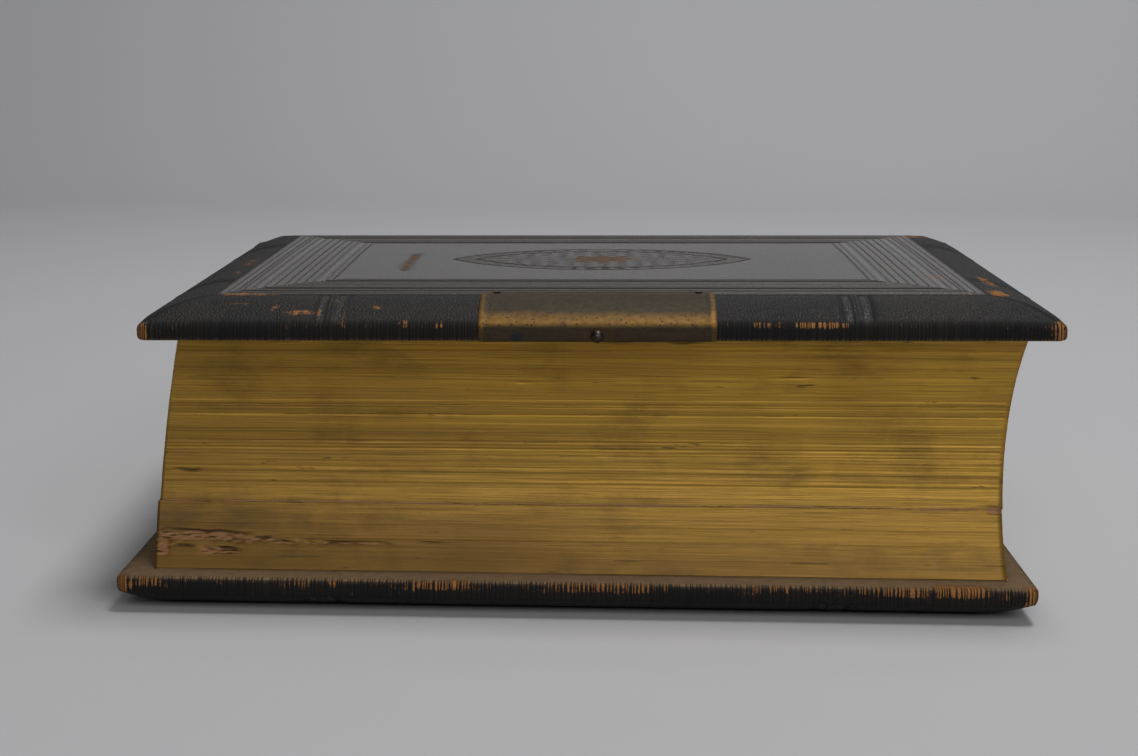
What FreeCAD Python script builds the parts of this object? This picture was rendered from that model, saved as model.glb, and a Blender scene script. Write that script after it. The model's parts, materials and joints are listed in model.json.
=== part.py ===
import FreeCAD, Part
import math
import os
import Sketcher
from FreeCAD import Placement, Rotation, Vector

# A large clasped book in full leather, lying on its back cover.
# Frame: X runs from tail to head, Y from fore edge to spine, Z up.
# The origin is the middle of the back cover's flat outer face.

SIZES = {
    # bevelled covers
    "board_length": 325.0,
    "board_width": 256.0,
    "edge_height": 5.8,
    "bevel_rise": 7.4,
    "bevel_width": 23.6,
    "bevel_swell": 2.0,
    "corner_radius": 4.0,
    "leather": 1.0,
    "turn_in": 0.7,
    "turn_in_width": 17.0,
    # ruled frames on both covers
    "line_depth": 0.4,
    "line_width": 0.9,
    "channel_width": 2.8,
    "outer_line_inset": 28.4,
    "outer_channel_inset": 36.0,
    "middle_line_inset": 43.6,
    "inner_line_inset": 49.6,
    "inner_channel_inset": 55.2,
    "last_line_inset": 61.4,
    # how the front cover lies on the swollen block
    "front_shift_x": 7.2,
    "front_shift_y": 8.6,
    "wedge_rise": 4.03,
    # leaves
    "block_depth": 84.55,
    "flyleaf": 0.3,
    "leaf_gap": 0.1,
    "tail_square_low": 12.7,
    "tail_square_high": 13.6,
    "head_square_low": 9.4,
    "head_square_high": 12.3,
    "head_hollow": 2.2,
    "tail_swell": 4.0,
    "fore_square_low": 11.4,
    "fore_square_high": 8.0,
    "fore_hollow": 14.5,
    # rounded spine
    "joint_gap": 4.0,
    "shoulder_run": 3.0,
    "spine_round": 15.0,
    "joint_drop": 3.3,
    "hinge_gap": 0.2,
    "cord_size": 2.0,
    "glue_line": 0.05,
    "lining": 0.8,
    "hollow_card": 1.5,
    "band_count": 5,
    "band_pitch": 52.0,
    "band_width": 6.0,
    "band_height": 2.4,
    "endband_size": 3.2,
    "endband_gap": 0.1,
    # brass catch on the front cover's fore edge
    "plate_width": 83.0,
    "plate_shift": 0.95,
    "plate_reach": 25.4,
    "plate_thick": 0.8,
    "plate_gap": 0.05,
    "plate_chamfer": 3.0,
    "pin_spread": 36.0,
    "pin_inset": 22.9,
    "pin_radius": 0.7,
    "pin_depth": 5.0,
    "pin_head_radius": 1.2,
    "pin_head": 0.6,
    "stud_ball_radius": 2.3,
    "stud_radius": 1.0,
    "stud_root": 6.0,
    "stud_height": 2.3,
    "stud_reach": 2.6,
}

doc = FreeCAD.newDocument("LeatherBook")
sheet = doc.addObject("Spreadsheet::Sheet", "Sizes")
for row, (alias, number) in enumerate(SIZES.items(), start=1):
    sheet.set(f"A{row}", alias)
    sheet.set(f"B{row}", str(number))
    sheet.setAlias(f"B{row}", alias)
doc.recompute()


class Size:
    """A length worked out from the sheet: its value now and the expression that gives it."""

    def __init__(self, value, text):
        self.value = float(value)
        self.text = text

    def __add__(self, other):
        other = as_size(other)
        return Size(self.value + other.value, f"({self.text} + {other.text})")

    def __sub__(self, other):
        other = as_size(other)
        return Size(self.value - other.value, f"({self.text} - {other.text})")

    def __mul__(self, other):
        other = as_size(other)
        return Size(self.value * other.value, f"({self.text} * {other.text})")

    def __truediv__(self, other):
        other = as_size(other)
        return Size(self.value / other.value, f"({self.text} / {other.text})")

    def __neg__(self):
        return Size(-self.value, f"(0 - {self.text})")


def as_size(thing):
    return thing if isinstance(thing, Size) else Size(thing, repr(float(thing)))


def cell(alias):
    return Size(sheet.get(alias), f"Sizes.{alias}")


def root(thing):
    return Size(math.sqrt(thing.value), f"sqrt({thing.text})")


NONE = as_size(0)
HALF = as_size(0.5)
QUARTER_BULGE = root(HALF)

leather = cell("leather")
turn_in = cell("turn_in")
cover = cell("edge_height") + cell("bevel_rise")
half_length = cell("board_length") * HALF
half_width = cell("board_width") * HALF
slope = cell("wedge_rise") / cell("board_length")
shift_x = cell("front_shift_x")
shift_y = cell("front_shift_y")

front_base = cover + cover + cell("block_depth")
front_height = front_base + slope * shift_x
front_angle_text = f"180 deg - atan({slope.text})"
front_turn = Rotation(Vector(0, 1, 0), 180 - math.degrees(math.atan(slope.value)))

# the leaves stand inside both covers by their squares; the upper ones follow the shifted cover
tail_low = cell("tail_square_low") - half_length
tail_high = cell("tail_square_high") - half_length + shift_x
head_low = half_length - cell("head_square_low")
head_high = half_length - cell("head_square_high") + shift_x
glue = cell("glue_line")
leaf_low = cover + cell("leaf_gap") + cell("flyleaf") + glue
leaf_high = cover + cell("block_depth") - cell("leaf_gap") - cell("flyleaf") - glue

# the spine's rounded back starts and ends at the shoulder tips, beside each joint
back_low = half_width + cell("joint_gap")
back_high = back_low + shift_y
tip_low_y = back_low + cell("shoulder_run")
tip_high_y = back_high + cell("shoulder_run")
tip_low_z = cell("joint_drop") + leather
tip_high_z = front_base - cell("joint_drop") - leather
lining_out = glue + cell("lining")
hollow_in = lining_out + glue
hollow_out = hollow_in + cell("hollow_card")
skin_in = hollow_out + glue
band_out = skin_in + cell("band_height")

loft_reach = half_length * as_size(1.2)
over = cell("board_width")


def new_body(label):
    body = doc.addObject("PartDesign::Body", label)
    body.Label = label
    return body


def sketch_on(body, name, role, lift=None):
    """A sketch on one of the body's own origin planes, moved along the plane's normal by lift."""
    sketch = body.newObject("Sketcher::SketchObject", name)
    for datum in body.Origin.OriginFeatures:
        if datum.Role == role:
            sketch.AttachmentSupport = [(datum, "")]
    sketch.MapMode = "FlatFace"
    if lift is not None:
        sketch.setExpression(".AttachmentOffset.Base.z", lift.text)
    return sketch


def end_nearest(sketch, edge, point):
    first = sketch.getPoint(edge, 1).distanceToPoint(point)
    second = sketch.getPoint(edge, 2).distanceToPoint(point)
    return 1 if first <= second else 2


def bind(sketch, kind, edge, end, size):
    index = sketch.addConstraint(Sketcher.Constraint(kind, -1, 1, edge, end, size.value))
    sketch.setExpression(f"Constraints[{index}]", size.text)


def draw_loop(sketch, corners):
    """A closed outline. Each corner is (across, up) or (across, up, bulge), anticlockwise, and
    bulge is the height of an arc to the next corner: outwards where positive."""
    edges = []
    for index, corner in enumerate(corners):
        after = corners[(index + 1) % len(corners)]
        start = Vector(corner[0].value, corner[1].value, 0)
        end = Vector(after[0].value, after[1].value, 0)
        if len(corner) == 2:
            edge = sketch.addGeometry(Part.LineSegment(start, end), False)
        else:
            along = (end - start).normalize()
            outwards = Vector(along.y, -along.x, 0)
            middle = (start + end) * 0.5 + outwards * corner[2].value
            edge = sketch.addGeometry(Part.Arc(start, middle, end), False)
        edges.append((edge, start, end))
    for index, corner in enumerate(corners):
        edge, start, end = edges[index]
        last_edge, last_start, last_end = edges[index - 1]
        here = end_nearest(sketch, edge, start)
        there = end_nearest(sketch, last_edge, last_end)
        sketch.addConstraint(Sketcher.Constraint("Coincident", last_edge, there, edge, here))
        bind(sketch, "DistanceX", edge, here, corner[0])
        bind(sketch, "DistanceY", edge, here, corner[1])
    for index, corner in enumerate(corners):
        if len(corner) == 3:
            after = corners[(index + 1) % len(corners)]
            run = after[0] - corner[0]
            climb = after[1] - corner[1]
            chord_squared = run * run + climb * climb
            bulge = corner[2] if corner[2].value > 0 else -corner[2]
            radius = chord_squared / (bulge * as_size(8)) + bulge * HALF
            number = sketch.addConstraint(
                Sketcher.Constraint("Radius", edges[index][0], radius.value))
            sketch.setExpression(f"Constraints[{number}]", radius.text)


def rectangle(left, low, right, high):
    return [(left, low), (right, low), (right, high), (left, high)]


def pad(body, sketch, length, symmetric=False):
    feature = body.newObject("PartDesign::Pad", sketch.Name + "Pad")
    feature.Profile = sketch
    feature.SideType = "Symmetric" if symmetric else "One side"
    feature.Length = length.value
    feature.setExpression("Length", length.text)
    return feature


def trim(body, name, role, loops, reach=over):
    """Keeps only what lies inside the loops, seen along the normal of the named plane."""
    doc.recompute()
    before = body.Shape.Volume
    sketch = sketch_on(body, name, role)
    draw_loop(sketch, rectangle(-reach, -reach, reach, reach))
    for loop in loops:
        draw_loop(sketch, loop)
    cut_all(body, sketch)
    check_cut(body, before)


def cut_all(body, sketch):
    feature = body.newObject("PartDesign::Pocket", sketch.Name + "Cut")
    feature.Profile = sketch
    feature.SideType = "Symmetric"
    feature.Type = "ThroughAll"
    return feature


def check_cut(body, before):
    doc.recompute()
    if body.Shape.Volume >= before:
        raise RuntimeError(body.Label + ": a cut removed nothing")


def seat_on_front(feature, slide=NONE):
    """Turns a piece over from the back cover's place to the front cover's.
    slide moves it along the cover towards the tail."""
    at_x = shift_x - slide
    at_z = front_height - slide * slope
    feature.Placement = Placement(Vector(at_x.value, shift_y.value, at_z.value), front_turn)
    feature.setExpression("Placement.Base.x", at_x.text)
    feature.setExpression("Placement.Base.y", shift_y.text)
    feature.setExpression("Placement.Base.z", at_z.text)
    feature.setExpression("Placement.Rotation.Angle", front_angle_text)


def carve(label, base, tools):
    """The base less its tools."""
    tool = tools[0]
    if len(tools) > 1:
        tool = doc.addObject("Part::MultiFuse", label + "_tools")
        tool.Shapes = tools
    result = doc.addObject("Part::Cut", label)
    result.Base = base
    result.Tool = tool
    result.Label = label
    return result


def plan_loop(side, end, radius):
    """A rectangle with rounded corners, seen from above: half length, half width, radius."""
    bulge = radius - radius * QUARTER_BULGE
    return [
        (-side + radius, -end), (side - radius, -end, bulge),
        (side, -end + radius), (side, end - radius, bulge),
        (side - radius, end), (-side + radius, end, bulge),
        (-side, end - radius), (-side, -end + radius, bulge),
    ]


def bevelled_form(label, inset, floor, ceiling):
    """A cover's form, outer face down: cushion bevels on head, tail and fore edge, square spine edge.
    inset draws every face in, for the board inside the leather."""
    bevel_slant = root(cell("bevel_rise") * cell("bevel_rise")
                       + cell("bevel_width") * cell("bevel_width"))
    arris = cell("bevel_rise") + inset * (bevel_slant - cell("bevel_rise")) / cell("bevel_width")
    side = half_length - inset
    end = half_width - inset
    foot = half_width - cell("bevel_width")
    toe = half_length - cell("bevel_width")
    swell = cell("bevel_swell")
    body = new_body(label)
    profile = sketch_on(body, label + "Side", "YZ_Plane")
    draw_loop(profile, [(-foot, floor), (end, floor), (end, ceiling), (-end, ceiling),
                        (-end, arris, swell)])
    pad(body, profile, side * as_size(2), symmetric=True)
    trim(body, label + "Ends", "XZ_Plane",
         [[(-toe, floor), (toe, floor, swell), (side, arris), (side, ceiling),
           (-side, ceiling), (-side, arris, swell)]])
    trim(body, label + "Plan", "XY_Plane",
         [plan_loop(side, end, cell("corner_radius") - inset)])
    return body


def rule_frames(body):
    """Ruled lines and two broad channels, pressed into the outer face as nested frames."""
    line = cell("line_width")
    channel = cell("channel_width")
    rules = [(cell("outer_line_inset"), line), (cell("outer_channel_inset"), channel),
             (cell("middle_line_inset"), line), (cell("inner_line_inset"), line),
             (cell("inner_channel_inset"), channel), (cell("last_line_inset"), line)]
    doc.recompute()
    before = body.Shape.Volume
    sketch = sketch_on(body, body.Label + "Frames", "XY_Plane")
    for inset, width in rules:
        for step in (inset, inset + width):
            side = half_length - step
            end = half_width - step
            draw_loop(sketch, rectangle(-side, -end, side, end))
    feature = body.newObject("PartDesign::Pocket", body.Label + "FramesCut")
    feature.Profile = sketch
    feature.SideType = "Symmetric"
    feature.Type = "Length"
    feature.setExpression("Length", (cell("line_depth") * as_size(2)).text)
    check_cut(body, before)


def flat_sheet(label, loop, floor, thickness):
    body = new_body(label)
    sketch = sketch_on(body, label + "Outline", "XY_Plane", floor)
    draw_loop(sketch, loop)
    pad(body, sketch, thickness)
    return body


def cover_parts(prefix):
    """Board, pastedown and the leather's full form for one cover, all in the back cover's place."""
    form = bevelled_form(prefix + "_cover_form", NONE, NONE, cover)
    rule_frames(form)
    board = bevelled_form(prefix + "_board_form", leather, leather, cover - turn_in)
    inner = cell("turn_in_width")
    paste = flat_sheet(prefix + "_pastedown",
                       rectangle(inner - half_length, inner - half_width,
                                 half_length - inner, half_width - leather * as_size(2)),
                       cover - turn_in, turn_in)
    return form, board, paste


def wedge_loft(label, profile):
    """A form that runs the book's length and thickens towards the head. profile(x) gives its
    outline across the book at x."""
    body = new_body(label)
    sections = []
    for name, station in (("Tail", -loft_reach), ("Head", loft_reach)):
        sketch = sketch_on(body, label + name, "YZ_Plane", station)
        draw_loop(sketch, profile(station))
        sections.append(sketch)
    feature = body.newObject("PartDesign::AdditiveLoft", label + "Loft")
    feature.Profile = sections[0]
    feature.Sections = [sections[1]]
    feature.Ruled = True
    return body


def spine_profile(near, far):
    """The outline of a layer on the rounded spine, between near and far behind the leaves' back."""
    def outline(x):
        top = tip_high_z + slope * x
        bulge = cell("spine_round")
        return [(tip_low_y + far, tip_low_z, bulge), (tip_high_y + far, top),
                (tip_high_y + near, top, -bulge), (tip_low_y + near, tip_low_z)]
    return outline


def between_ends(tail_near, tail_far, head_near, head_far):
    """The leaves' leaning length, seen from the fore edge: a swollen tail and a hollow head."""
    low = -leather
    high = front_base + leather * as_size(4)
    return [(tail_near, low), (head_near, low), (head_near, leaf_low, -cell("head_hollow")),
            (head_far, leaf_high), (head_far, high), (tail_far, high),
            (tail_far, leaf_high, cell("tail_swell")), (tail_near, leaf_low)]


def beyond_end(near_low, near_high, run, bow):
    """A strip beside one end of the leaves, run away from it, as high as the book. Both its sides
    bow towards the tail, as that end of the leaves does."""
    low = -leather
    high = front_base + leather * as_size(4)
    far_low = near_low + run
    far_high = near_high + run
    if run.value > 0:
        return [(near_low, low), (far_low, low), (far_low, leaf_low, -bow),
                (far_high, leaf_high), (far_high, high), (near_high, high),
                (near_high, leaf_high, bow), (near_low, leaf_low)]
    return [(far_low, low), (near_low, low), (near_low, leaf_low, -bow),
            (near_high, leaf_high), (near_high, high), (far_high, high),
            (far_high, leaf_high, bow), (far_low, leaf_low)]


def band_comb(label, width):
    """Five upright slabs, one at each band, that cut a spine layer into bands."""
    body = new_body(label)
    slab = sketch_on(body, label + "Slab", "XZ_Plane")
    first = cell("band_pitch") * (cell("band_count") - as_size(1)) * HALF
    reach = front_base * as_size(2)
    draw_loop(slab, rectangle(-first - width * HALF, -reach, width * HALF - first, reach))
    feature = pad(body, slab, half_width * as_size(4), symmetric=True)
    doc.recompute()
    pattern = body.newObject("PartDesign::LinearPattern", label + "Row")
    pattern.Originals = [feature]
    pattern.Direction = (slab, ["H_Axis"])
    pattern.setExpression("Length", (first * as_size(2)).text)
    pattern.setExpression("Occurrences", "Sizes.band_count")
    body.Tip = pattern
    return body


def common(label, pieces):
    result = doc.addObject("Part::MultiCommon", label)
    result.Shapes = pieces
    result.Label = label
    return result


def primitive(body, kind, name, role, place, **lengths):
    """A primitive of a body, set on one of its planes: place is its offset in the plane's own axes."""
    feature = body.newObject(kind, name)
    for datum in body.Origin.OriginFeatures:
        if datum.Role == role:
            feature.AttachmentSupport = [(datum, "")]
    feature.MapMode = "FlatFace"
    for axis, size in zip("xyz", place):
        feature.setExpression(f".AttachmentOffset.Base.{axis}", size.text)
    for key, size in lengths.items():
        feature.setExpression(key, size.text)
    return feature


# leaves, cords and the layers on the spine
fore_low = cell("fore_square_low") - half_width
fore_high = cell("fore_square_high") - half_width


def block_profile(x):
    return [(fore_low, leaf_low), (back_low, leaf_low),
            (tip_low_y, tip_low_z, cell("spine_round")),
            (tip_high_y, tip_high_z + slope * x), (back_high, leaf_high + slope * x),
            (fore_high + shift_y, leaf_high + slope * x, -cell("fore_hollow"))]


leaf_ends = between_ends(tail_low, tail_high, head_low, head_high)
block_form = wedge_loft("text_block_form", block_profile)
trim(block_form, "text_block_ends", "XZ_Plane", [leaf_ends])

cord_comb = band_comb("cord_comb", cell("cord_size"))
cord_layer = wedge_loft("cord_layer", spine_profile(-cell("cord_size"), NONE))
sewing_cords = common("sewing_cords", [cord_layer, cord_comb])
text_block = carve("text_block", block_form, [sewing_cords])

spine_lining = wedge_loft("spine_lining", spine_profile(glue, lining_out))
trim(spine_lining, "spine_lining_ends", "XZ_Plane", [leaf_ends])
spine_hollow = wedge_loft("spine_hollow", spine_profile(hollow_in, hollow_out))
trim(spine_hollow, "spine_hollow_ends", "XZ_Plane", [leaf_ends])

card_comb = band_comb("card_comb", cell("band_width"))
card_layer = wedge_loft("card_layer", spine_profile(skin_in, band_out))
false_bands = common("false_bands", [card_layer, card_comb])


def endband(label, near_low, near_high, side, bow):
    """A worked band that stands on the block's end and follows its rounded back."""
    size = cell("endband_size")
    gap = cell("endband_gap") * as_size(side)
    body = wedge_loft(label, spine_profile(-size, NONE))
    trim(body, label + "_ends", "XZ_Plane",
         [beyond_end(near_low + gap, near_high + gap, size * as_size(side), bow)])
    return body


head_endband = endband("head_endband", head_low, head_high, 1, cell("head_hollow"))
tail_endband = endband("tail_endband", tail_low, tail_high, -1, cell("tail_swell"))


def skin_profile(x):
    """The leather over the spine, with a flange to each hinge."""
    outer = skin_in + leather
    low = cell("joint_drop")
    high = front_base - low + slope * x
    inner_high = tip_high_z + slope * x
    hinge_low = half_width + cell("hinge_gap")
    hinge_high = hinge_low + shift_y
    bulge = cell("spine_round")
    return [(hinge_low, low), (tip_low_y + outer, low, bulge), (tip_high_y + outer, high),
            (hinge_high, high), (hinge_high, inner_high),
            (tip_high_y + skin_in, inner_high, -bulge),
            (tip_low_y + skin_in, tip_low_z), (hinge_low, tip_low_z)]


skin = wedge_loft("spine_skin", skin_profile)
trim(skin, "spine_skin_ends", "XZ_Plane",
     [[(-half_length, -leather), (half_length, -leather),
       (half_length + shift_x, front_base + leather * as_size(4)),
       (-half_length + shift_x, front_base + leather * as_size(4))]])
ridge_comb = band_comb("ridge_comb", cell("band_width") + leather * as_size(2))
ridge_layer = wedge_loft("ridge_layer", spine_profile(skin_in, band_out + leather))
ridges = common("band_ridges", [ridge_layer, ridge_comb])
skin_and_ridges = doc.addObject("Part::MultiFuse", "skin_and_ridges")
skin_and_ridges.Shapes = [skin, ridges]
spine_leather = carve("spine_leather", skin_and_ridges, [false_bands])

# flyleaves
back_flyleaf = flat_sheet(
    "back_flyleaf", rectangle(tail_low, fore_low, head_low, back_low),
    cover + cell("leaf_gap"), cell("flyleaf"))
front_flyleaf = flat_sheet(
    "front_flyleaf",
    rectangle(shift_x - head_high, fore_high, shift_x - tail_high, back_low),
    cover + cell("leaf_gap"), cell("flyleaf"))
seat_on_front(front_flyleaf)

# back cover
back_form, back_board, back_pastedown = cover_parts("back")
back_board.Label = "back_board"
back_cover_leather = carve("back_cover_leather", back_form, [back_board, back_pastedown])

# front cover, made in the back cover's place and then turned over
front_form, front_core, front_pastedown = cover_parts("front")
plate_edge = -half_width
thick = cell("plate_thick")
reach_y = cell("plate_reach") - half_width
foot_y = cell("bevel_width") - half_width
plate_half = cell("plate_width") * HALF
plate_blank = new_body("catch_plate_blank")
plate_side = sketch_on(plate_blank, "PlateSide", "YZ_Plane")
plate_gap = cell("plate_gap")
plate_out = plate_gap + thick
draw_loop(plate_side, [(plate_edge - plate_out, cover),
                       (plate_edge - plate_out, cell("bevel_rise"), cell("bevel_swell")),
                       (foot_y, -plate_out), (reach_y, -plate_out), (reach_y, -plate_gap),
                       (foot_y, -plate_gap, -cell("bevel_swell")),
                       (plate_edge - plate_gap, cell("bevel_rise")),
                       (plate_edge - plate_gap, cover)])
pad(plate_blank, plate_side, cell("plate_width"), symmetric=True)
chamfer = cell("plate_chamfer")
trim(plate_blank, "PlatePlan", "XY_Plane",
     [[(-plate_half, plate_edge - plate_out), (plate_half, plate_edge - plate_out),
       (plate_half, reach_y - chamfer), (plate_half - chamfer, reach_y),
       (chamfer - plate_half, reach_y), (-plate_half, reach_y - chamfer)]])

plate_pins = new_body("plate_pins")
pin_y = cell("pin_inset") - half_width
for number, side in enumerate((-1, 1)):
    pin_x = cell("pin_spread") * as_size(side)
    primitive(plate_pins, "PartDesign::AdditiveCylinder", f"PinShank{number}", "XY_Plane",
              (pin_x, pin_y, -plate_out), Radius=cell("pin_radius"),
              Height=cell("pin_depth") + plate_out)
    primitive(plate_pins, "PartDesign::AdditiveCylinder", f"PinHead{number}", "XY_Plane",
              (pin_x, pin_y, -plate_out - cell("pin_head")), Radius=cell("pin_head_radius"),
              Height=cell("pin_head") + thick * HALF)

catch_stud = new_body("catch_stud")
stud_z = cover - cell("stud_height")
ball_y = plate_edge - plate_out - cell("stud_reach")
primitive(catch_stud, "PartDesign::AdditiveCylinder", "StudShank", "XZ_Plane",
          (NONE, stud_z, -(plate_edge + cell("stud_root"))), Radius=cell("stud_radius"),
          Height=cell("stud_root") + plate_out + cell("stud_reach"))
primitive(catch_stud, "PartDesign::AdditiveSphere", "StudBall", "XZ_Plane",
          (NONE, stud_z, -ball_y), Radius=cell("stud_ball_radius"))

for piece in (front_form, front_core, front_pastedown):
    seat_on_front(piece)
for piece in (plate_blank, plate_pins, catch_stud):
    seat_on_front(piece, cell("plate_shift"))
catch_plate = carve("catch_plate", plate_blank, [plate_pins, catch_stud])
front_board = carve("front_board", front_core, [plate_pins, catch_stud])
front_cover_leather = carve("front_cover_leather", front_form,
                            [front_core, front_pastedown, plate_pins, catch_stud])

PARTS = [
    text_block, sewing_cords, spine_lining, spine_hollow, false_bands, spine_leather,
    head_endband, tail_endband, front_flyleaf, back_flyleaf,
    back_board, back_cover_leather, back_pastedown,
    front_board, front_cover_leather, front_pastedown, catch_plate, catch_stud, plate_pins,
]

doc.recompute()
faults = []
for item in doc.Objects:
    if "Invalid" in item.State or "Error" in item.State:
        faults.append(f"{item.Name}: {item.State}")
for part in PARTS:
    if part.Shape.isNull() or not part.Shape.isValid():
        faults.append(f"{part.Label}: shape is not valid")
if faults:
    raise RuntimeError("; ".join(faults))

os.makedirs("parts", exist_ok=True)
for part in PARTS:
    part.Shape.exportStep(os.path.join("parts", part.Label + ".step"))
    print(f"{part.Label}: {len(part.Shape.Solids)} solid(s), {part.Shape.Volume / 1000:.1f} cm3")
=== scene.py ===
import json
import math
import bpy
import mathutils
import numpy as np
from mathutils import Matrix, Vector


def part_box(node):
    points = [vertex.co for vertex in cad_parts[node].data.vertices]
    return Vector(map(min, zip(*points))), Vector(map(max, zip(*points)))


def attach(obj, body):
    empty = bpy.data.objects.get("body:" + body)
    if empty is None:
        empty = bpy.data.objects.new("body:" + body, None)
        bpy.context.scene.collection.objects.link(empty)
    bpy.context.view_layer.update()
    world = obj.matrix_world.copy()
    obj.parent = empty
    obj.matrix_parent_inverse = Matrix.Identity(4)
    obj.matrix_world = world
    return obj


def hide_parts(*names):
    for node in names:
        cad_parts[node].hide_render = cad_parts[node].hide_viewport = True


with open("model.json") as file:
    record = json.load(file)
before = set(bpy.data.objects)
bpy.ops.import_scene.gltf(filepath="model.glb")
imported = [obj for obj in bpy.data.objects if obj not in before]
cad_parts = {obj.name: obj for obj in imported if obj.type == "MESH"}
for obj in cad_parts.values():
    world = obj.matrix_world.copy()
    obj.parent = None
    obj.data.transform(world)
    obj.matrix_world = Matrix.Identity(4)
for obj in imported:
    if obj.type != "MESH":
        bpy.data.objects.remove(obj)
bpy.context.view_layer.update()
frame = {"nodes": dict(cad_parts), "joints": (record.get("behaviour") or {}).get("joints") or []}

mm = 0.001
rng = np.random.default_rng(1871)


# measures of the book, in millimetres, read from the frame

def boxOf(node):
    low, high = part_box(node)
    return np.array(low) / mm, np.array(high) / mm


backLow, backHigh = boxOf("back_cover_leather")
boardLength, boardWidth, coverThick = backHigh - backLow
jointOf = {joint["name"]: joint for joint in frame["joints"]}
frontHinge = np.array(jointOf["front_cover_hinge"]["pos_m"]) / mm
frontAlong = -np.array(jointOf["front_cover_hinge"]["axis"], float)
acrossBoards = np.array([0.0, 1.0, 0.0])
slope = frontAlong[2] / frontAlong[0]         # the block thickens towards the head
shiftX = frontHinge[0]
shiftY = frontHinge[1] - boardWidth / 2
bookHeight = frontHinge[2] - slope * shiftX   # outer face to outer face at x = 0

backCover = dict(origin=np.zeros(3), along=np.array([1.0, 0, 0]), out=np.array([0, 0, -1.0]))
frontCover = dict(origin=frontHinge - acrossBoards * boardWidth / 2, along=frontAlong,
                  out=np.cross(frontAlong, acrossBoards))


# small helpers

def smooth(t):
    # 3t squared less 2t cubed, with t held between 0 and 1
    t = np.clip(t, 0.0, 1.0)
    return t * t * (3 - 2 * t)


def hill(d, width):
    # a bell curve: e to the power of minus (d over width) squared
    return np.exp(-(d / width) ** 2)


def waves(x, seed, longest, count=6):
    # a wandering line of about unit height: sines whose lengths shrink by 1.7 each time
    draw = np.random.default_rng(seed)
    total = np.zeros(np.shape(x))
    for k in range(count):
        total = total + np.sin(x * 2 * np.pi * 1.7 ** k / longest + draw.uniform(0, 6.28)) / 1.5 ** k
    return total / 2


def bow(t, chord, rise):
    # how far a circle's arc stands off its chord at the share t of it
    radius = (chord ** 2 / 4 + rise ** 2) / (2 * rise)
    return np.sqrt(radius ** 2 - (chord * (t - 0.5)) ** 2) - (radius - rise)


def thinned(values, finest):
    # rising values without those that follow the one before by finest or less
    return values[np.concatenate([[True], np.diff(values) > finest])]


def lengthAlong(line):
    # how far along a flat line each of its points lies
    return np.concatenate([[0], np.cumsum(np.hypot(*np.diff(line, axis=1)))])


def normalsOf(line):
    # unit vectors square to a flat line
    tangent = np.gradient(line, axis=1)
    tangent /= np.hypot(*tangent)
    return np.stack([tangent[1], -tangent[0]])


def meshPiece(name, points, faces, material, values=None):
    # points in millimetres; faces as a list of index arrays, each with three, four or more columns;
    # values are kept with the points, for the material
    mesh = bpy.data.meshes.new(name)
    rows = [face for block in faces for face in np.atleast_2d(block).tolist()]
    mesh.from_pydata((points.reshape(-1, 3) * mm).tolist(), [], rows)
    mesh.materials.append(material)
    mesh.polygons.foreach_set("use_smooth", np.ones(len(mesh.polygons), bool))
    for key, value in (values or {}).items():
        layer = mesh.attributes.new(key, "FLOAT", "POINT")
        layer.data.foreach_set("value", np.asarray(value, np.float32).ravel())
    mesh.update()
    piece = bpy.data.objects.new(name, mesh)
    bpy.context.scene.collection.objects.link(piece)
    return piece


def ringFaces(rows, columns, start=0, turned=False):
    # quads between neighbouring rows of points, each row closed on itself
    index = np.arange(rows * columns).reshape(rows, columns) + start
    after = np.roll(index, -1, axis=1)
    quads = np.stack([index[:-1], after[:-1], after[1:], index[1:]], -1).reshape(-1, 4)
    return quads[:, ::-1] if turned else quads


def endFaces(rows, columns, turned=False):
    # one polygon over the first row of points and one over the last
    first = np.arange(columns)[None, :]
    last = first[:, ::-1] + (rows - 1) * columns
    return [first, last] if turned else [first[:, ::-1], last[:, ::-1]]


def blur(line, passes):
    # each point but the two ends moves to the weighted mean of itself and its neighbours
    for step in range(passes):
        line[..., 1:-1] = 0.25 * line[..., :-2] + 0.5 * line[..., 1:-1] + 0.25 * line[..., 2:]
    return line


def wallFaces(rows, columns, turned=False):
    # a strip between the borders of two equal grids, the second one's points after the first's
    grid = np.arange(rows * columns).reshape(rows, columns)
    border = np.concatenate([grid[0, :-1], grid[:-1, -1], grid[-1, :0:-1], grid[:0:-1, 0]])
    after = np.roll(border, -1)
    if turned:
        border, after = after, border
    wall = np.stack([border, border + rows * columns, after + rows * columns, after], -1)
    return np.roll(wall, 1, axis=1) if turned else wall


def gridFaces(rows, columns, start=0, turned=False):
    # quads of an open grid
    index = np.arange(rows * columns).reshape(rows, columns) + start
    quads = np.stack([index[:-1, :-1], index[:-1, 1:], index[1:, 1:], index[1:, :-1]], -1)
    quads = quads.reshape(-1, 4)
    return quads[:, ::-1] if turned else quads


def feed(tree, socket, value):
    # an input gets a link from another node, or a plain value
    if isinstance(value, bpy.types.NodeSocket):
        tree.links.new(value, socket)
    else:
        socket.default_value = value


def put(tree, kind, inputs=None, **settings):
    # a shader node with its settings and inputs
    made = tree.nodes.new("ShaderNode" + kind)
    for key, value in settings.items():
        setattr(made, key, value)
    for key, value in (inputs or {}).items():
        feed(tree, made.inputs[key], value)
    return made


def newMaterial(name):
    material = bpy.data.materials.new(name)
    material.use_nodes = True
    tree = material.node_tree
    return material, tree, tree.nodes["Principled BSDF"]


shaderInputs = dict(colour="Base Color", rough="Roughness", metal="Metallic", shine="Specular IOR Level",
                    normal="Normal")


def finish(tree, bsdf, **values):
    for key, value in values.items():
        feed(tree, bsdf.inputs[shaderInputs[key]], value)


def attribute(tree, name):
    return put(tree, "Attribute", attribute_name=name).outputs["Fac"]


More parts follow.
